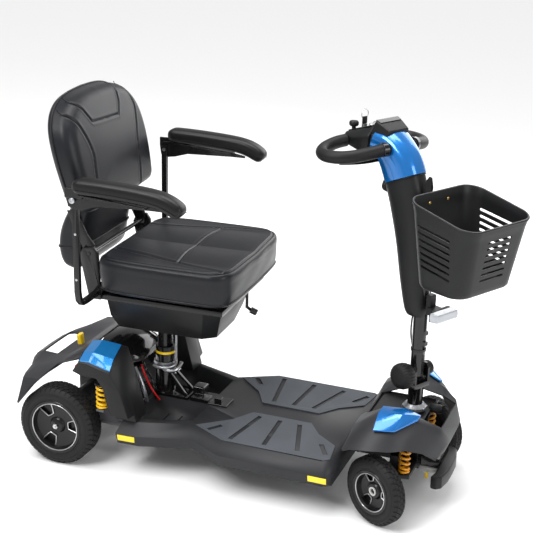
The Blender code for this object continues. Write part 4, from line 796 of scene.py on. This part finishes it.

# ------------------------------------------------------------------ hard parts that keep their CAD form
# front_panel_left takes the lighter blue copy, painted light; front_panel_right takes the plain blue paint
for node, w, m in (("deck_pan", 0.0022, "deck"), ("main_frame", 0.0010, "frame"), ("post_socket", 0.0008, "gloss"), ("rear_shroud", 0.0018, "shell"), ("motor_cover", 0.0040, "gloss"),
                   ("rear_fender_left", 0.0020, "mould"), ("rear_fender_right", 0.0020, "mould"), ("front_fairing", 0.0018, "shell"), ("front_panel_left", 0.0014, "blue_painted_light"),
                   ("front_panel_right", 0.0014, "blue"), ("front_bumper", 0.0040, "mould"), ("transaxle", 0.0012, "drive"), ("swing_frame", 0.0010, "grey"), ("front_arm_left", 0.0012, "drive"),
                   ("front_arm_right", 0.0012, "drive"), ("knuckle_left", 0.0008, "drive"), ("knuckle_right", 0.0008, "drive"), ("tie_rod", 0.0, "steel"), ("steering_stem", 0.0008, "gloss"),
                   ("tiller_tube", 0.0, "gloss"), ("seat_post", 0.0, "frame"), ("seat_frame", 0.0010, "frame"), ("under_seat_box", 0.0040, "mould"), ("back_frame", 0.0012, "frame"),
                   ("post_clamp", 0.0006, "steel"), ("battery_connector", 0.0012, "gloss"), ("freewheel_lever", 0.0020, "yellow"), ("swivel_lever", 0.0, "gloss"), ("throttle_lever", 0.0, "gloss"),
                   ("deck_mat_left", 0.0012, "mat"), ("deck_mat_right", 0.0012, "mat"), ("horn_button", 0.0005, "steel")):
    whole = node not in ("deck_pan", "deck_mat_left", "deck_mat_right", "rear_shroud", "front_fairing")
    refine(node, w if whole else 0.0, M[m], 3 if w > 0.002 else 2, merge=whole)

# ------------------------------------------------------------------ details on the body


def slab(name, pts, nrm, t, material, body, bevel=0.0012, T=ROW, shrink=0.0):
    """A thin plate over the given corners, standing t above them."""
    P = [Vector(p) for p in pts]
    n = Vector(nrm).normalized()
    bm = bmesh.new()
    va = [bm.verts.new(p - n * 0.0012) for p in P]
    vb = [bm.verts.new(p + n * t) for p in P]
    bm.faces.new(va)
    bm.faces.new(list(reversed(vb)))
    for i in range(len(P)):
        j = (i + 1) % len(P)
        bm.faces.new((va[i], vb[i], vb[j], va[j]))
    return from_bm(bm, name, material, body, T=T, bevel=bevel)


for nm, s in SIDES:
    # yellow side reflectors
    slab("reflector_rear_" + nm, [(0.1830, s * 0.2425, 0.1190), (0.2340, s * 0.2398, 0.1190), (0.2340, s * 0.2370, 0.1020), (0.1840, s * 0.2398, 0.1020)], (0.05, s * 0.99, -0.16), 0.0022, M["reflector"], "chassis")
    slab("reflector_front_" + nm, [(0.7400, s * 0.2495, 0.1190), (0.7910, s * 0.2495, 0.1190), (0.7910, s * 0.2468, 0.1020), (0.7400, s * 0.2468, 0.1020)], (0, s * 0.99, -0.16), 0.0022, M["reflector"], "chassis")
    # blue panels on the rear fender tops, two facets
    fen = bpy.data.objects["v_rear_fender_" + nm]

    def top(x, y, up=0.0):
        h = fen.ray_cast(fen.matrix_world.inverted() @ (ROW @ Vector((x, y, 0.60))), Vector((0, 0, -1)))
        return (ROW.inverted() @ (fen.matrix_world @ h[1])).z + up if h[0] else 0.304 + up

    bpy.context.view_layer.update()
    # the right rear panel takes the lighter blue copy, painted light; the left one takes the plain blue paint
    blue = M["blue_painted_light"] if s < 0 else M["blue"]
    rowsb = []
    for f_ in np.linspace(0, 1, 29):
        ya = 0.160 + 0.084 * f_
        xa = 0.0690 + 0.004 * f_
        xb = 0.1570 + 0.008 * f_
        rowsb.append([(xa + (xb - xa) * g_, s * ya) for g_ in np.linspace(0, 1, 21)])
    bm = bmesh.new()
    grid = [[bm.verts.new((x, y, top(x, y, 0.0034))) for x, y in r_] for r_ in rowsb]
    low = [[bm.verts.new((x, y, top(x, y, -0.0006))) for x, y in r_] for r_ in rowsb]
    m_, k_ = len(grid), len(grid[0])
    for i in range(m_ - 1):
        for j in range(k_ - 1):
            bm.faces.new((grid[i][j], grid[i + 1][j], grid[i + 1][j + 1], grid[i][j + 1]))
            bm.faces.new((low[i][j], low[i][j + 1], low[i + 1][j + 1], low[i + 1][j]))
    for i in range(m_ - 1):
        bm.faces.new((grid[i][0], low[i][0], low[i + 1][0], grid[i + 1][0]))
        bm.faces.new((grid[i][-1], grid[i + 1][-1], low[i + 1][-1], low[i][-1]))
    for j in range(k_ - 1):
        bm.faces.new((grid[0][j], grid[0][j + 1], low[0][j + 1], low[0][j]))
        bm.faces.new((grid[-1][j], low[-1][j], low[-1][j + 1], grid[-1][j + 1]))
    from_bm(bm, "rear_panel_" + nm, blue, "chassis", T=ROW, smooth=12)
    # red tail light under the rear edge of the fender
    bm = bmesh.new()
    box_bm(bm, (0.0535, s * 0.205 - 0.034, 0.2860), (0.0655, s * 0.205 + 0.034, 0.3010))
    from_bm(bm, "tail_light_" + nm, M["red"], "chassis", T=ROW, bevel=0.002)

# inner tray under the front opening, kept below the fairing: a near-black sheet of painted shade
fai = bpy.data.objects["v_front_fairing"]
bpy.context.view_layer.update()
bm = bmesh.new()
gx_, gy_ = np.linspace(0.800, 0.990, 20), np.linspace(-0.088, 0.088, 18)


def tray(x, y):
    h = fai.ray_cast(fai.matrix_world.inverted() @ (ROW @ Vector((x, y, 0.60))), Vector((0, 0, -1)))
    return min(0.2380, (ROW.inverted() @ (fai.matrix_world @ h[1])).z - 0.0060) if h[0] else 0.2380


ga = [[bm.verts.new((x, y, tray(x, y))) for y in gy_] for x in gx_]
gb = [[bm.verts.new((v.co.x, v.co.y, v.co.z - 0.0020)) for v in r_] for r_ in ga]
for i in range(len(gx_) - 1):
    for j in range(len(gy_) - 1):
        bm.faces.new((ga[i][j], ga[i + 1][j], ga[i + 1][j + 1], ga[i][j + 1]))
        bm.faces.new((gb[i][j], gb[i][j + 1], gb[i + 1][j + 1], gb[i + 1][j]))
    bm.faces.new((ga[i][0], gb[i][0], gb[i + 1][0], ga[i + 1][0]))
    bm.faces.new((ga[i][-1], ga[i + 1][-1], gb[i + 1][-1], gb[i][-1]))
for j in range(len(gy_) - 1):
    bm.faces.new((ga[0][j], ga[0][j + 1], gb[0][j + 1], gb[0][j]))
    bm.faces.new((ga[-1][j], gb[-1][j], gb[-1][j + 1], ga[-1][j + 1]))
from_bm(bm, "front_tray", M["shade_black"], "chassis", T=ROW, smooth=20)

# front plug stub, skid disc, collar, tag
bm = lathe_bm([(0, 0), (0.011, 0), (0.0125, 0.003), (0.0125, 0.030), (0.0100, 0.034), (0, 0.034)], 'X', (0.985, 0.036, 0.236), 28)
from_bm(bm, "front_plug", M["mould"], "chassis", T=ROW)
bm = lathe_bm([(0, 0.078), (0.033, 0.078), (0.036, 0.081), (0.036, 0.087), (0.033, 0.0895), (0, 0.0895)], 'Z', (1.004, 0.0, 0), 48)
from_bm(bm, "skid_disc", M["pale"], "chassis", T=ROW, smooth=30)
bm = bmesh.new()
box_bm(bm, (1.004, -0.052, 0.0700), (1.012, -0.0500, 0.0880))
from_bm(bm, "plain_tag", M["yellow"], "chassis", T=ROW, bevel=0.0004)
bm = lathe_bm([(0.0215, 0.2440), (0.0300, 0.2440), (0.0318, 0.2470), (0.0318, 0.2530), (0.0295, 0.2550), (0.0230, 0.2620), (0.0215, 0.2620)], 'Z', (0, 0, 0), 40)
from_bm(bm, "stem_collar", M["steel"], "stem", T=COL, smooth=30)
bm = bmesh.new()
for k in range(8):
    a = 2 * math.pi * k / 8
    box_bm(bm, (0.0300 * math.cos(a) - 0.0035, 0.0300 * math.sin(a) - 0.0035, 0.2465), (0.0300 * math.cos(a) + 0.0035, 0.0300 * math.sin(a) + 0.0035, 0.2535))
from_bm(bm, "collar_lugs", M["steel"], "stem", T=COL, bevel=0.0008)

# seat post dressing
bm = lathe_bm([(0.0270, 0.2790), (0.0292, 0.2790), (0.0292, 0.2860), (0.0270, 0.2860)], 'Z', (0.215, 0, 0), 40)
from_bm(bm, "post_ring_upper", M["yellow"], "chassis", T=ROW, smooth=30)
bm = lathe_bm([(0, 0.262), (0.0032, 0.262), (0.0032, 0.352), (0, 0.352)], 'Z', (0.2495, -0.004, 0), 16)
from_bm(bm, "post_rod", M["steel"], "clamp", T=ROW)
bm = bmesh.new()
tube_bm([tuple(p) for p in catmull([(0.196, -0.036, 0.2460), (0.205, -0.041, 0.2455), (0.222, -0.043, 0.2455), (0.240, -0.038, 0.2470), (0.252, -0.024, 0.2500), (0.254, -0.012, 0.2580)], 6)], 0.0048, 12, bm=bm)
from_bm(bm, "clamp_handle", M["steel"], "clamp", T=ROW)
# wiring loom and pipes near the drive
for i, (pts, r, m) in enumerate((
        ([(0.140, -0.105, 0.245), (0.158, -0.112, 0.225), (0.172, -0.118, 0.200), (0.184, -0.110, 0.165), (0.186, -0.100, 0.130)], 0.0062, "gloss"),
        ([(0.158, -0.080, 0.250), (0.176, -0.088, 0.226), (0.190, -0.092, 0.196), (0.198, -0.088, 0.160), (0.198, -0.080, 0.130)], 0.0052, "steel"),
        ([(0.160, -0.045, 0.245), (0.178, -0.058, 0.220), (0.200, -0.066, 0.190), (0.215, -0.062, 0.165), (0.222, -0.055, 0.150)], 0.0026, "wire"),
        ([(0.150, -0.020, 0.250), (0.172, -0.040, 0.232), (0.196, -0.050, 0.205), (0.206, -0.052, 0.175), (0.208, -0.050, 0.150)], 0.0026, "gloss"),
        ([(0.150, 0.060, 0.250), (0.172, 0.075, 0.225), (0.188, 0.080, 0.190), (0.194, 0.075, 0.140)], 0.0050, "gloss"))):
    from_bm(tube_bm([tuple(p) for p in catmull(pts, 8)], r, 12), "loom_%d" % i, M[m], "chassis", T=ROW)
# battery latch plate
bm = bmesh.new()
box_bm(bm, (0.362, -0.034, 0.1550), (0.420, 0.020, 0.1585))
box_bm(bm, (0.376, -0.020, 0.1580), (0.398, -0.002, 0.1700))
from_bm(bm, "latch_plate", M["gloss"], "chassis", T=ROW, bevel=0.0015)
# thin rail inside each battery bay
bm = bmesh.new()
for s in (-1, 1):
    for k in range(3):
        x = 0.248 + 0.040 * k
        box_bm(bm, (x, s * 0.092 - 0.042, 0.1078), (x + 0.004, s * 0.092 + 0.042, 0.1096))
from_bm(bm, "bay_ribs", M["deck"], "chassis", T=ROW, bevel=0.0006)

# ------------------------------------------------------------------ tiller
SHR = [(-0.010, 0.512, 0.0270, 0.0270, 0), (-0.014, 0.530, 0.0330, 0.0310, 0), (-0.026, 0.600, 0.0400, 0.0330, 4), (-0.040, 0.700, 0.0480, 0.0350, 6),
       (-0.060, 0.790, 0.0540, 0.0370, 12), (-0.080, 0.850, 0.0560, 0.0380, 20), (-0.105, 0.900, 0.0540, 0.0400, 36), (-0.135, 0.936, 0.0420, 0.0440, 58),
       (-0.168, 0.952, 0.0300, 0.0500, 78)]


def sect(s, grow=0.0, n=48, a0=0.0, a1=360.0, closed=True):
    cx, cz, a, b, tilt = s
    out = []
    ca, sa = math.cos(math.radians(tilt)), math.sin(math.radians(tilt))
    m = n if closed else n - 1
    for i in range(n):
        t = math.radians(a0 + (a1 - a0) * i / m)
        c_, s_ = math.cos(t), math.sin(t)
        u = math.copysign(abs(c_) ** 0.72, c_) * (a + grow)
        v = math.copysign(abs(s_) ** 0.72, s_) * (b + grow)
        out.append((cx + u * ca, v, cz + u * sa))
    return out


fine_s = catmull(SHR, 6)
shr = from_bm(loft_bm([sect(s) for s in fine_s]), "tiller_shroud_body", M["mould"], "tiller", T=COL, replaces=("tiller_shroud",), smooth=50)
bm = bmesh.new()
box_bm(bm, (-0.010, -0.030, 0.700), (0.0325, 0.030, 0.830))
from_bm(bm, "basket_mount", M["mould"], "tiller", T=COL, bevel=0.003)
# the hook behind the basket
bm = loft_bm([[(-0.030, -0.005, 0.810), (0.002, -0.005, 0.810), (0.002, 0.005, 0.810), (-0.030, 0.005, 0.810)], [(-0.016, -0.005, 0.860), (0.010, -0.005, 0.856), (0.010, 0.005, 0.856), (-0.016, 0.005, 0.860)],
              [(-0.002, -0.003, 0.884), (0.006, -0.003, 0.882), (0.006, 0.003, 0.882), (-0.002, 0.003, 0.884)]])
from_bm(bm, "bag_hook", M["mould"], "tiller", T=COL, bevel=0.0015)
# lengthwise parting line and the blue front cover with its edge
cs = [(-0.0800, 0.850, 0.0560, 0.0380, 20), (-0.0852, 0.862, 0.0556, 0.0384, 24), (-0.105, 0.900, 0.0540, 0.0400, 36), (-0.135, 0.936, 0.0420, 0.0440, 58), (-0.152, 0.946, 0.0360, 0.0470, 68), (-0.162, 0.950, 0.0320, 0.0490, 74)]
fc = catmull(cs[1:], 6)
rings = []
for s in fc:
    rings.append(sect(s, 0.0042, 37, -116, 116, False) + sect(s, 0.0004, 37, 116, -116, False))
cov = from_bm(loft_bm(rings), "tiller_front_cover", M["blue"], "tiller", T=COL, replaces=("tiller_cover",), smooth=40, bevel=0.0010)
# black seam band under the cover: painted shade where the cover's edge meets the shroud
bm = tube_bm(sect((-0.0846, 0.8600, 0.0556, 0.0384, 24), 0.0022, 60), 0.0018, 8, True)
from_bm(bm, "cover_seam", M["shade_black"], "tiller", T=COL)
# handlebar loops
for nm, s in SIDES:
    path = [(-0.112, s * 0.0470, 0.939), (-0.112, s * 0.0560, 0.938), (-0.124, s * 0.0850, 0.932), (-0.146, s * 0.1250, 0.924), (-0.172, s * 0.1520, 0.920), (-0.204, s * 0.1640, 0.919), (-0.232, s * 0.1560, 0.921),
            (-0.250, s * 0.1310, 0.925), (-0.256, s * 0.1000, 0.930), (-0.254, s * 0.0765, 0.934), (-0.250, s * 0.0560, 0.936)]
    hb = from_bm(tube_bm([tuple(p) for p in catmull(path, 7)], 0.0166, 28), "grip_" + nm, M["grip"], "tiller", T=COL, replaces=("handlebar_" + nm,))
    bm = tube_bm([(-0.109, s * 0.046, 0.9390), (-0.114, s * 0.060, 0.9375)], 0.0188, 28)
    from_bm(bm, "grip_collar_" + nm, M["gloss"], "tiller", T=COL, bevel=0.001)
# console: body, lid, screen, visor
con = refine("console", 0.0040, M["mould"], 3)
for nm_, pts, t, m in (("console_lid", [(-0.178, -0.044, 0.9845), (-0.178, 0.044, 0.9845), (-0.206, 0.044, 0.9745), (-0.258, 0.040, 0.9580), (-0.264, 0.0, 0.9560), (-0.258, -0.040, 0.9580), (-0.206, -0.044, 0.9745)], 0.0024, "gloss"),):
    slab(nm_, pts, (-0.30, 0, 0.95), t, M[m], "tiller", T=COL, bevel=0.0014)
bm = loft_bm([[(-0.118, -0.040, 0.9640), (-0.118, 0.040, 0.9640), (-0.112, 0.034, 0.9820), (-0.112, -0.034, 0.9820)],
              [(-0.150, -0.046, 0.9700), (-0.150, 0.046, 0.9700), (-0.140, 0.040, 0.9960), (-0.140, -0.040, 0.9960)],
              [(-0.176, -0.048, 0.9600), (-0.176, 0.048, 0.9600), (-0.160, 0.042, 1.0030), (-0.160, -0.042, 1.0030)]])
from_bm(bm, "display_hood", M["mould"], "tiller", T=COL, bevel=0.004, segs=3)
slab("display_rim", [(-0.1440, -0.037, 0.9975), (-0.1440, 0.037, 0.9975), (-0.1595, 0.040, 1.0030), (-0.1595, -0.040, 1.0030)], (0.42, 0, 0.90), 0.0020, M["gloss"], "tiller", T=COL, bevel=0.0008)
slab("display_screen", [(-0.1640, -0.034, 0.9960), (-0.1640, 0.034, 0.9960), (-0.1745, 0.036, 0.9700), (-0.1745, -0.036, 0.9700)], (-0.93, 0, 0.37), 0.0012, M["screen"], "tiller", T=COL, bevel=0.0008)
# controls
bm = lathe_bm([(0, 0.9565), (0.0055, 0.9565), (0.0055, 0.9690), (0.0100, 0.9700), (0.0125, 0.9730), (0.0130, 0.9790), (0.0105, 0.9830), (0, 0.9835)], 'Z', (-0.252, -0.026, 0), 36)
dl = from_bm(bm, "dial_knob", M["key"], "dial", T=COL, replaces=("speed_dial",), smooth=40)
bm = lathe_bm([(0, 0.9570), (0.0115, 0.9570), (0.0115, 0.9620), (0.0075, 0.9640), (0.0075, 0.9730), (0, 0.9730)], 'Z', (-0.243, 0.004, 0), 32)
from_bm(bm, "key_barrel", M["steel"], "tiller", T=COL, smooth=35)
bm = bmesh.new()
box_bm(bm, (-0.0458, -0.0040, 0.9735), (-0.0402, 0.0120, 0.9930))
bmesh.ops.translate(bm, verts=bm.verts, vec=(-0.2000, 0, 0))
kb = from_bm(bm, "key_head", M["key"], "key", T=COL, replaces=("ignition_key",), bevel=0.0020, segs=3)
bm = tube_bm([(-0.243, 0.004 + 0.0120 * math.cos(t), 0.9990 + 0.0135 * math.sin(t)) for t in np.linspace(0, 2 * math.pi, 40, endpoint=False)], 0.0011, 8, True)
from_bm(bm, "key_ring", M["silver"], "key", T=COL)
bm = lathe_bm([(0.0104, 0.9600), (0.0128, 0.9600), (0.0130, 0.9690), (0.0120, 0.9715), (0.0104, 0.9717)], 'Z', (-0.222, 0.026, 0), 32)
lathe_bm([(0.0065, 0.9700), (0.0110, 0.9700), (0.0115, 0.9760), (0.0100, 0.9800), (0.0065, 0.9800)], 'Z', (-0.190, -0.022, 0), 32, bm)
from_bm(bm, "switch_rings", M["silver"], "tiller", T=COL, smooth=35)
bm = lathe_bm([(0, 0.9760), (0.0085, 0.9760), (0.0088, 0.9850), (0.0070, 0.9875), (0, 0.9880)], 'Z', (-0.190, -0.022, 0), 32)
from_bm(bm, "lamp_switch", M["silver"], "tiller", T=COL, smooth=35)
# charger port on the rear face of the column
bm = lathe_bm([(0, 0.0), (0.0215, 0.0), (0.0225, 0.002), (0.0225, 0.0105), (0.0195, 0.0130), (0.0150, 0.0130), (0.0140, 0.0105), (0.0105, 0.0100), (0.0085, 0.0120), (0, 0.0120)], 'X', (0, 0, 0), 48)
Tp = COL @ Matrix.Translation((-0.1290, -0.004, 0.8350)) @ Matrix.Rotation(math.radians(180), 4, 'Z') @ Matrix.Rotation(math.radians(-14), 4, 'Y')
from_bm(bm, "charger_port", M["mould"], "tiller", T=Tp, smooth=30)
bm = bmesh.new()
box_bm(bm, (-0.0850, -0.006, 0.640), (-0.0790, 0.006, 0.664))
from_bm(bm, "column_switch", M["gloss"], "tiller", T=COL, bevel=0.0015)
# cable between the column and the stem
cab = [(-0.034, 0.012, 0.520), (-0.042, 0.014, 0.480), (-0.042, 0.014, 0.440), (-0.032, 0.013, 0.405), (-0.022, 0.012, 0.385)]
from_bm(tube_bm([tuple(p) for p in catmull(cab, 8)], 0.0026, 10), "tiller_cable", M["gloss"], "tiller", T=COL)
bm = lathe_bm([(0.0193, 0.4130), (0.0210, 0.4130), (0.0210, 0.4190), (0.0193, 0.4190)], 'Z', (0, 0, 0), 40)
from_bm(bm, "tube_bands", M["frame"], "tiller", T=COL)
# ribbed folding knob
kn = []
bm = bmesh.new()
prk = [(0.0, -0.0765), (0.016, -0.0760), (0.024, -0.0745), (0.0305, -0.0710), (0.0345, -0.0640), (0.0355, -0.0560), (0.0350, -0.0470), (0.0320, -0.0390), (0.0270, -0.0330), (0.0215, -0.0292), (0.0062, -0.0290), (0.0062, 0.0291), (0.016, 0.0292), (0.0195, 0.036),
       (0.0185, 0.046), (0.010, 0.050), (0, 0.0500)]
rg = []
n_k = 144
for r, h in prk:
    if r < 1e-6:
        rg.append([bm.verts.new((0, h, 0.352))])
        continue
    row_ = []
    for k in range(n_k):
        a = 2 * math.pi * k / n_k
        rib = 1.0
        if r > 0.020 and h < -0.03:
            rib = 1.0 - 0.045 * (0.5 + 0.5 * math.cos(a * 24)) ** 4
        row_.append(bm.verts.new((r * rib * math.cos(a), h, 0.352 + r * rib * math.sin(a))))
    rg.append(row_)
for a, b in zip(rg[:-1], rg[1:]):
    for k in range(n_k):
        j = (k + 1) % n_k
        if len(a) == 1:
            bm.faces.new((a[0], b[j], b[k]))
        elif len(b) == 1:
            bm.faces.new((a[k], a[j], b[0]))
        else:
            bm.faces.new((a[k], a[j], b[j], b[k]))
fkn = from_bm(bm, "folding_knob", M["grip"], "knob", T=COL, replaces=("fold_knob",), smooth=40)
# headlight
bm = bmesh.new()
box_bm(bm, (0.0235, -0.011, 0.535), (0.040, 0.011, 0.578))
box_bm(bm, (0.030, -0.016, 0.526), (0.062, 0.016, 0.546))
box_bm(bm, (0.058, -0.036, 0.519), (0.068, 0.036, 0.548))
hl = from_bm(bm, "lamp_housing", M["mould"], "tiller", T=COL, replaces=("headlight",), bevel=0.002)
bm = loft_bm([[(0.067, -0.042, 0.521), (0.067, 0.042, 0.521), (0.067, 0.045, 0.534), (0.067, 0.042, 0.547), (0.067, -0.042, 0.547), (0.067, -0.045, 0.534)],
              [(0.092, -0.038, 0.523), (0.092, 0.038, 0.523), (0.092, 0.041, 0.534), (0.092, 0.038, 0.545), (0.092, -0.038, 0.545), (0.092, -0.041, 0.534)]])
from_bm(bm, "lamp_lens", M["lamp"], "tiller", T=COL, bevel=0.003, segs=3)


# ------------------------------------------------------------------ basket
def ring_at(t, inset, dz=0.0, n=12):
    xa, xb = 0.0580 - 0.0235 * t + inset, 0.2100 + 0.0330 * t - inset
    hy = 0.106 + 0.0170 * t - inset
    r = max(0.004, 0.045 - inset)
    pts = []
    for cx, cy, a0 in ((xb - r, hy - r, 0), (xa + r, hy - r, 90), (xa + r, -hy + r, 180), (xb - r, -hy + r, 270)):
        for i in range(n + 1):
            a = math.radians(a0 + 90 * i / n)
            x, y = cx + r * math.cos(a), cy + r * math.sin(a)
            zr = 0.857 - 0.040 * (x - 0.0345) / 0.2085
            pts.append((x, y, 0.632 + (zr - 0.632) * t + dz))
    return pts


tl = [0.04, 0.10, 0.2, 0.3, 0.4, 0.5, 0.6, 0.7, 0.8, 0.88]
rings = [ring_at(0.0, 0.020), ring_at(0.0, 0.008), ring_at(0.015, 0.003)] + [ring_at(t, 0.0) for t in tl] + [ring_at(0.90, -0.0008), ring_at(0.965, -0.0010), ring_at(0.970, -0.0032), ring_at(0.990, -0.0038), ring_at(1.0, -0.0020),
         ring_at(1.0, 0.0018), ring_at(0.99, 0.0030)] + [ring_at(t, 0.0030) for t in reversed(tl)] + [ring_at(0.0, 0.010, 0.0035), ring_at(0.0, 0.020, 0.0035)]
bm = loft_bm(rings)
bmesh.ops.triangulate(bm, faces=bm.faces)
bmesh.ops.recalc_face_normals(bm, faces=bm.faces)
me = bpy.data.meshes.new("bk")
bm.to_mesh(me)
bm.free()
bko = bpy.data.objects.new("bk", me)
bpy.context.scene.collection.objects.link(bko)
cb = bmesh.new()


def stadium(cb, a, b, h, axis, u0, u1, tilt=0.0):
    """A long slot with round ends from a to b, of height h, cut along an axis."""
    (ax, az), (bx, bz) = a, b
    d = Vector((bx - ax, bz - az)).normalized()
    nn = Vector((-d.y, d.x))
    r = h / 2
    pts = []
    for k in range(9):
        t = math.pi * k / 8
        pts.append(Vector((ax, az)) - d * (r * math.sin(t)) + nn * (r * math.cos(t)))
    for k in range(9):
        t = math.pi * k / 8
        pts.append(Vector((bx, bz)) + d * (r * math.sin(t)) - nn * (r * math.cos(t)))
    def P(p, u):
        return (p.x, u, p.y) if axis == 'Y' else (u, p.x, p.y)
    va = [cb.verts.new(P(p, u0)) for p in pts]
    vb = [cb.verts.new(P(p, u1)) for p in pts]
    cb.faces.new(va)
    cb.faces.new(list(reversed(vb)))
    for i in range(len(pts)):
        j = (i + 1) % len(pts)
        cb.faces.new((va[i], vb[i], vb[j], va[j]))


for k in range(7):
    z = 0.690 + k * 0.0170
    stadium(cb, (0.088 - 0.002 * k, z + 0.004), (0.176, z - 0.010), 0.0072, 'Y', 0.075, 0.20)
    stadium(cb, (0.088 - 0.002 * k, z + 0.004), (0.176, z - 0.010), 0.0072, 'Y', -0.075, -0.20)
    stadium(cb, (-0.040, z - 0.014), (0.040, z - 0.014), 0.0072, 'X', 0.19, 0.35)
for gx in range(3):
    for gy in range(5):
        bmesh.ops.create_cone(cb, cap_ends=True, segments=16, radius1=0.0042, radius2=0.0042, depth=0.03, matrix=Matrix.Translation((0.105 + 0.030 * gx, -0.060 + 0.030 * gy, 0.634)))
bmesh.ops.recalc_face_normals(cb, faces=cb.faces)
cm = bpy.data.meshes.new("cutb")
cb.to_mesh(cm)
cb.free()
cut = bpy.data.objects.new("cutb", cm)
bpy.context.scene.collection.objects.link(cut)
bo = bko.modifiers.new("b", 'BOOLEAN')
bo.object = cut
bo.solver = 'EXACT'
bpy.context.view_layer.update()
res = bpy.data.meshes.new_from_object(bko.evaluated_get(bpy.context.evaluated_depsgraph_get()))
bpy.data.objects.remove(bko)
bpy.data.objects.remove(cut)
res.transform(COL)
bk = new_obj("basket_body", res, M["mould"], "front_basket", ("basket",), 40)
bm = bmesh.new()
for y in (-0.040, 0.028):
    lathe_bm([(0, 0), (0.0042, 0), (0.0042, 0.0012), (0.0025, 0.0024), (0, 0.0024)], 'X', (0.0395, y, 0.832), 20, bm)
from_bm(bm, "basket_rivets", M["brass"], "front_basket", T=COL)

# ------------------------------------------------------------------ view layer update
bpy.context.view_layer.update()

# ------------------------------------------------------------------ stage, light, camera
bpy.ops.mesh.primitive_plane_add(size=30, location=(0, 0, 0))
floor = bpy.context.object
floor.name = "floor"
fm = bpy.data.materials.new("floor")
fm.use_nodes = True
fm.node_tree.nodes["Principled BSDF"].inputs["Base Color"].default_value = (0.93, 0.93, 0.93, 1)
fm.node_tree.nodes["Principled BSDF"].inputs["Roughness"].default_value = 0.9
floor.data.materials.append(fm)


def area(name, loc, target, size, power, size_y=None):
    L = bpy.data.lights.new(name, 'AREA')
    L.energy = power
    L.size = size
    if size_y:
        L.shape = 'RECTANGLE'
        L.size_y = size_y
    o = bpy.data.objects.new(name, L)
    bpy.context.scene.collection.objects.link(o)
    o.location = loc
    o.rotation_euler = (Vector(target) - Vector(loc)).to_track_quat('-Z', 'Y').to_euler()
    return o


area("key", (-1.2, -2.6, 3.2), (0, 0, 0.5), 1.4, 80)
area("top", (0.2, 0.4, 3.4), (0, 0, 0.4), 1.6, 55)
area("fill", (3.0, -1.2, 1.8), (0.2, 0, 0.5), 1.4, 32)
sun = bpy.data.lights.new("sun", 'SUN')
sun.energy = 1.5
sun.angle = math.radians(35)
so = bpy.data.objects.new("sun", sun)
bpy.context.scene.collection.objects.link(so)
so.rotation_euler = (math.radians(14), math.radians(-12), 0)
area("rim", (0.8, 3.0, 2.0), (0, 0, 0.6), 2.4, 50)
world = bpy.context.scene.world or bpy.data.worlds.new("world")
bpy.context.scene.world = world
world.use_nodes = True
bg = world.node_tree.nodes.get("Background")
bg.inputs["Color"].default_value = (1, 1, 1, 1)
bg.inputs["Strength"].default_value = 0.50

cam = bpy.data.cameras.new("camera")
cam.sensor_width = 36.0
cam.lens = 85.18
cam.clip_start = 0.05
cam.clip_end = 60
co_ = bpy.data.objects.new("camera", cam)
bpy.context.scene.collection.objects.link(co_)
Rr = Vector((0.93145651, 0.3631356, 0.02283212))
Uu = Vector((-0.14089902, 0.30213313, 0.94279533))
Ff = Vector((-0.33546421, 0.88138987, -0.33258932))
rot = Matrix((Rr, Uu, -Ff)).transposed()
co_.matrix_world = Matrix.Translation((1.66132525 - OX, -3.00497528 - OY, 1.71411488)) @ rot.to_4x4()
bpy.context.scene.camera = co_
bpy.context.scene.view_settings.view_transform = 'Standard'
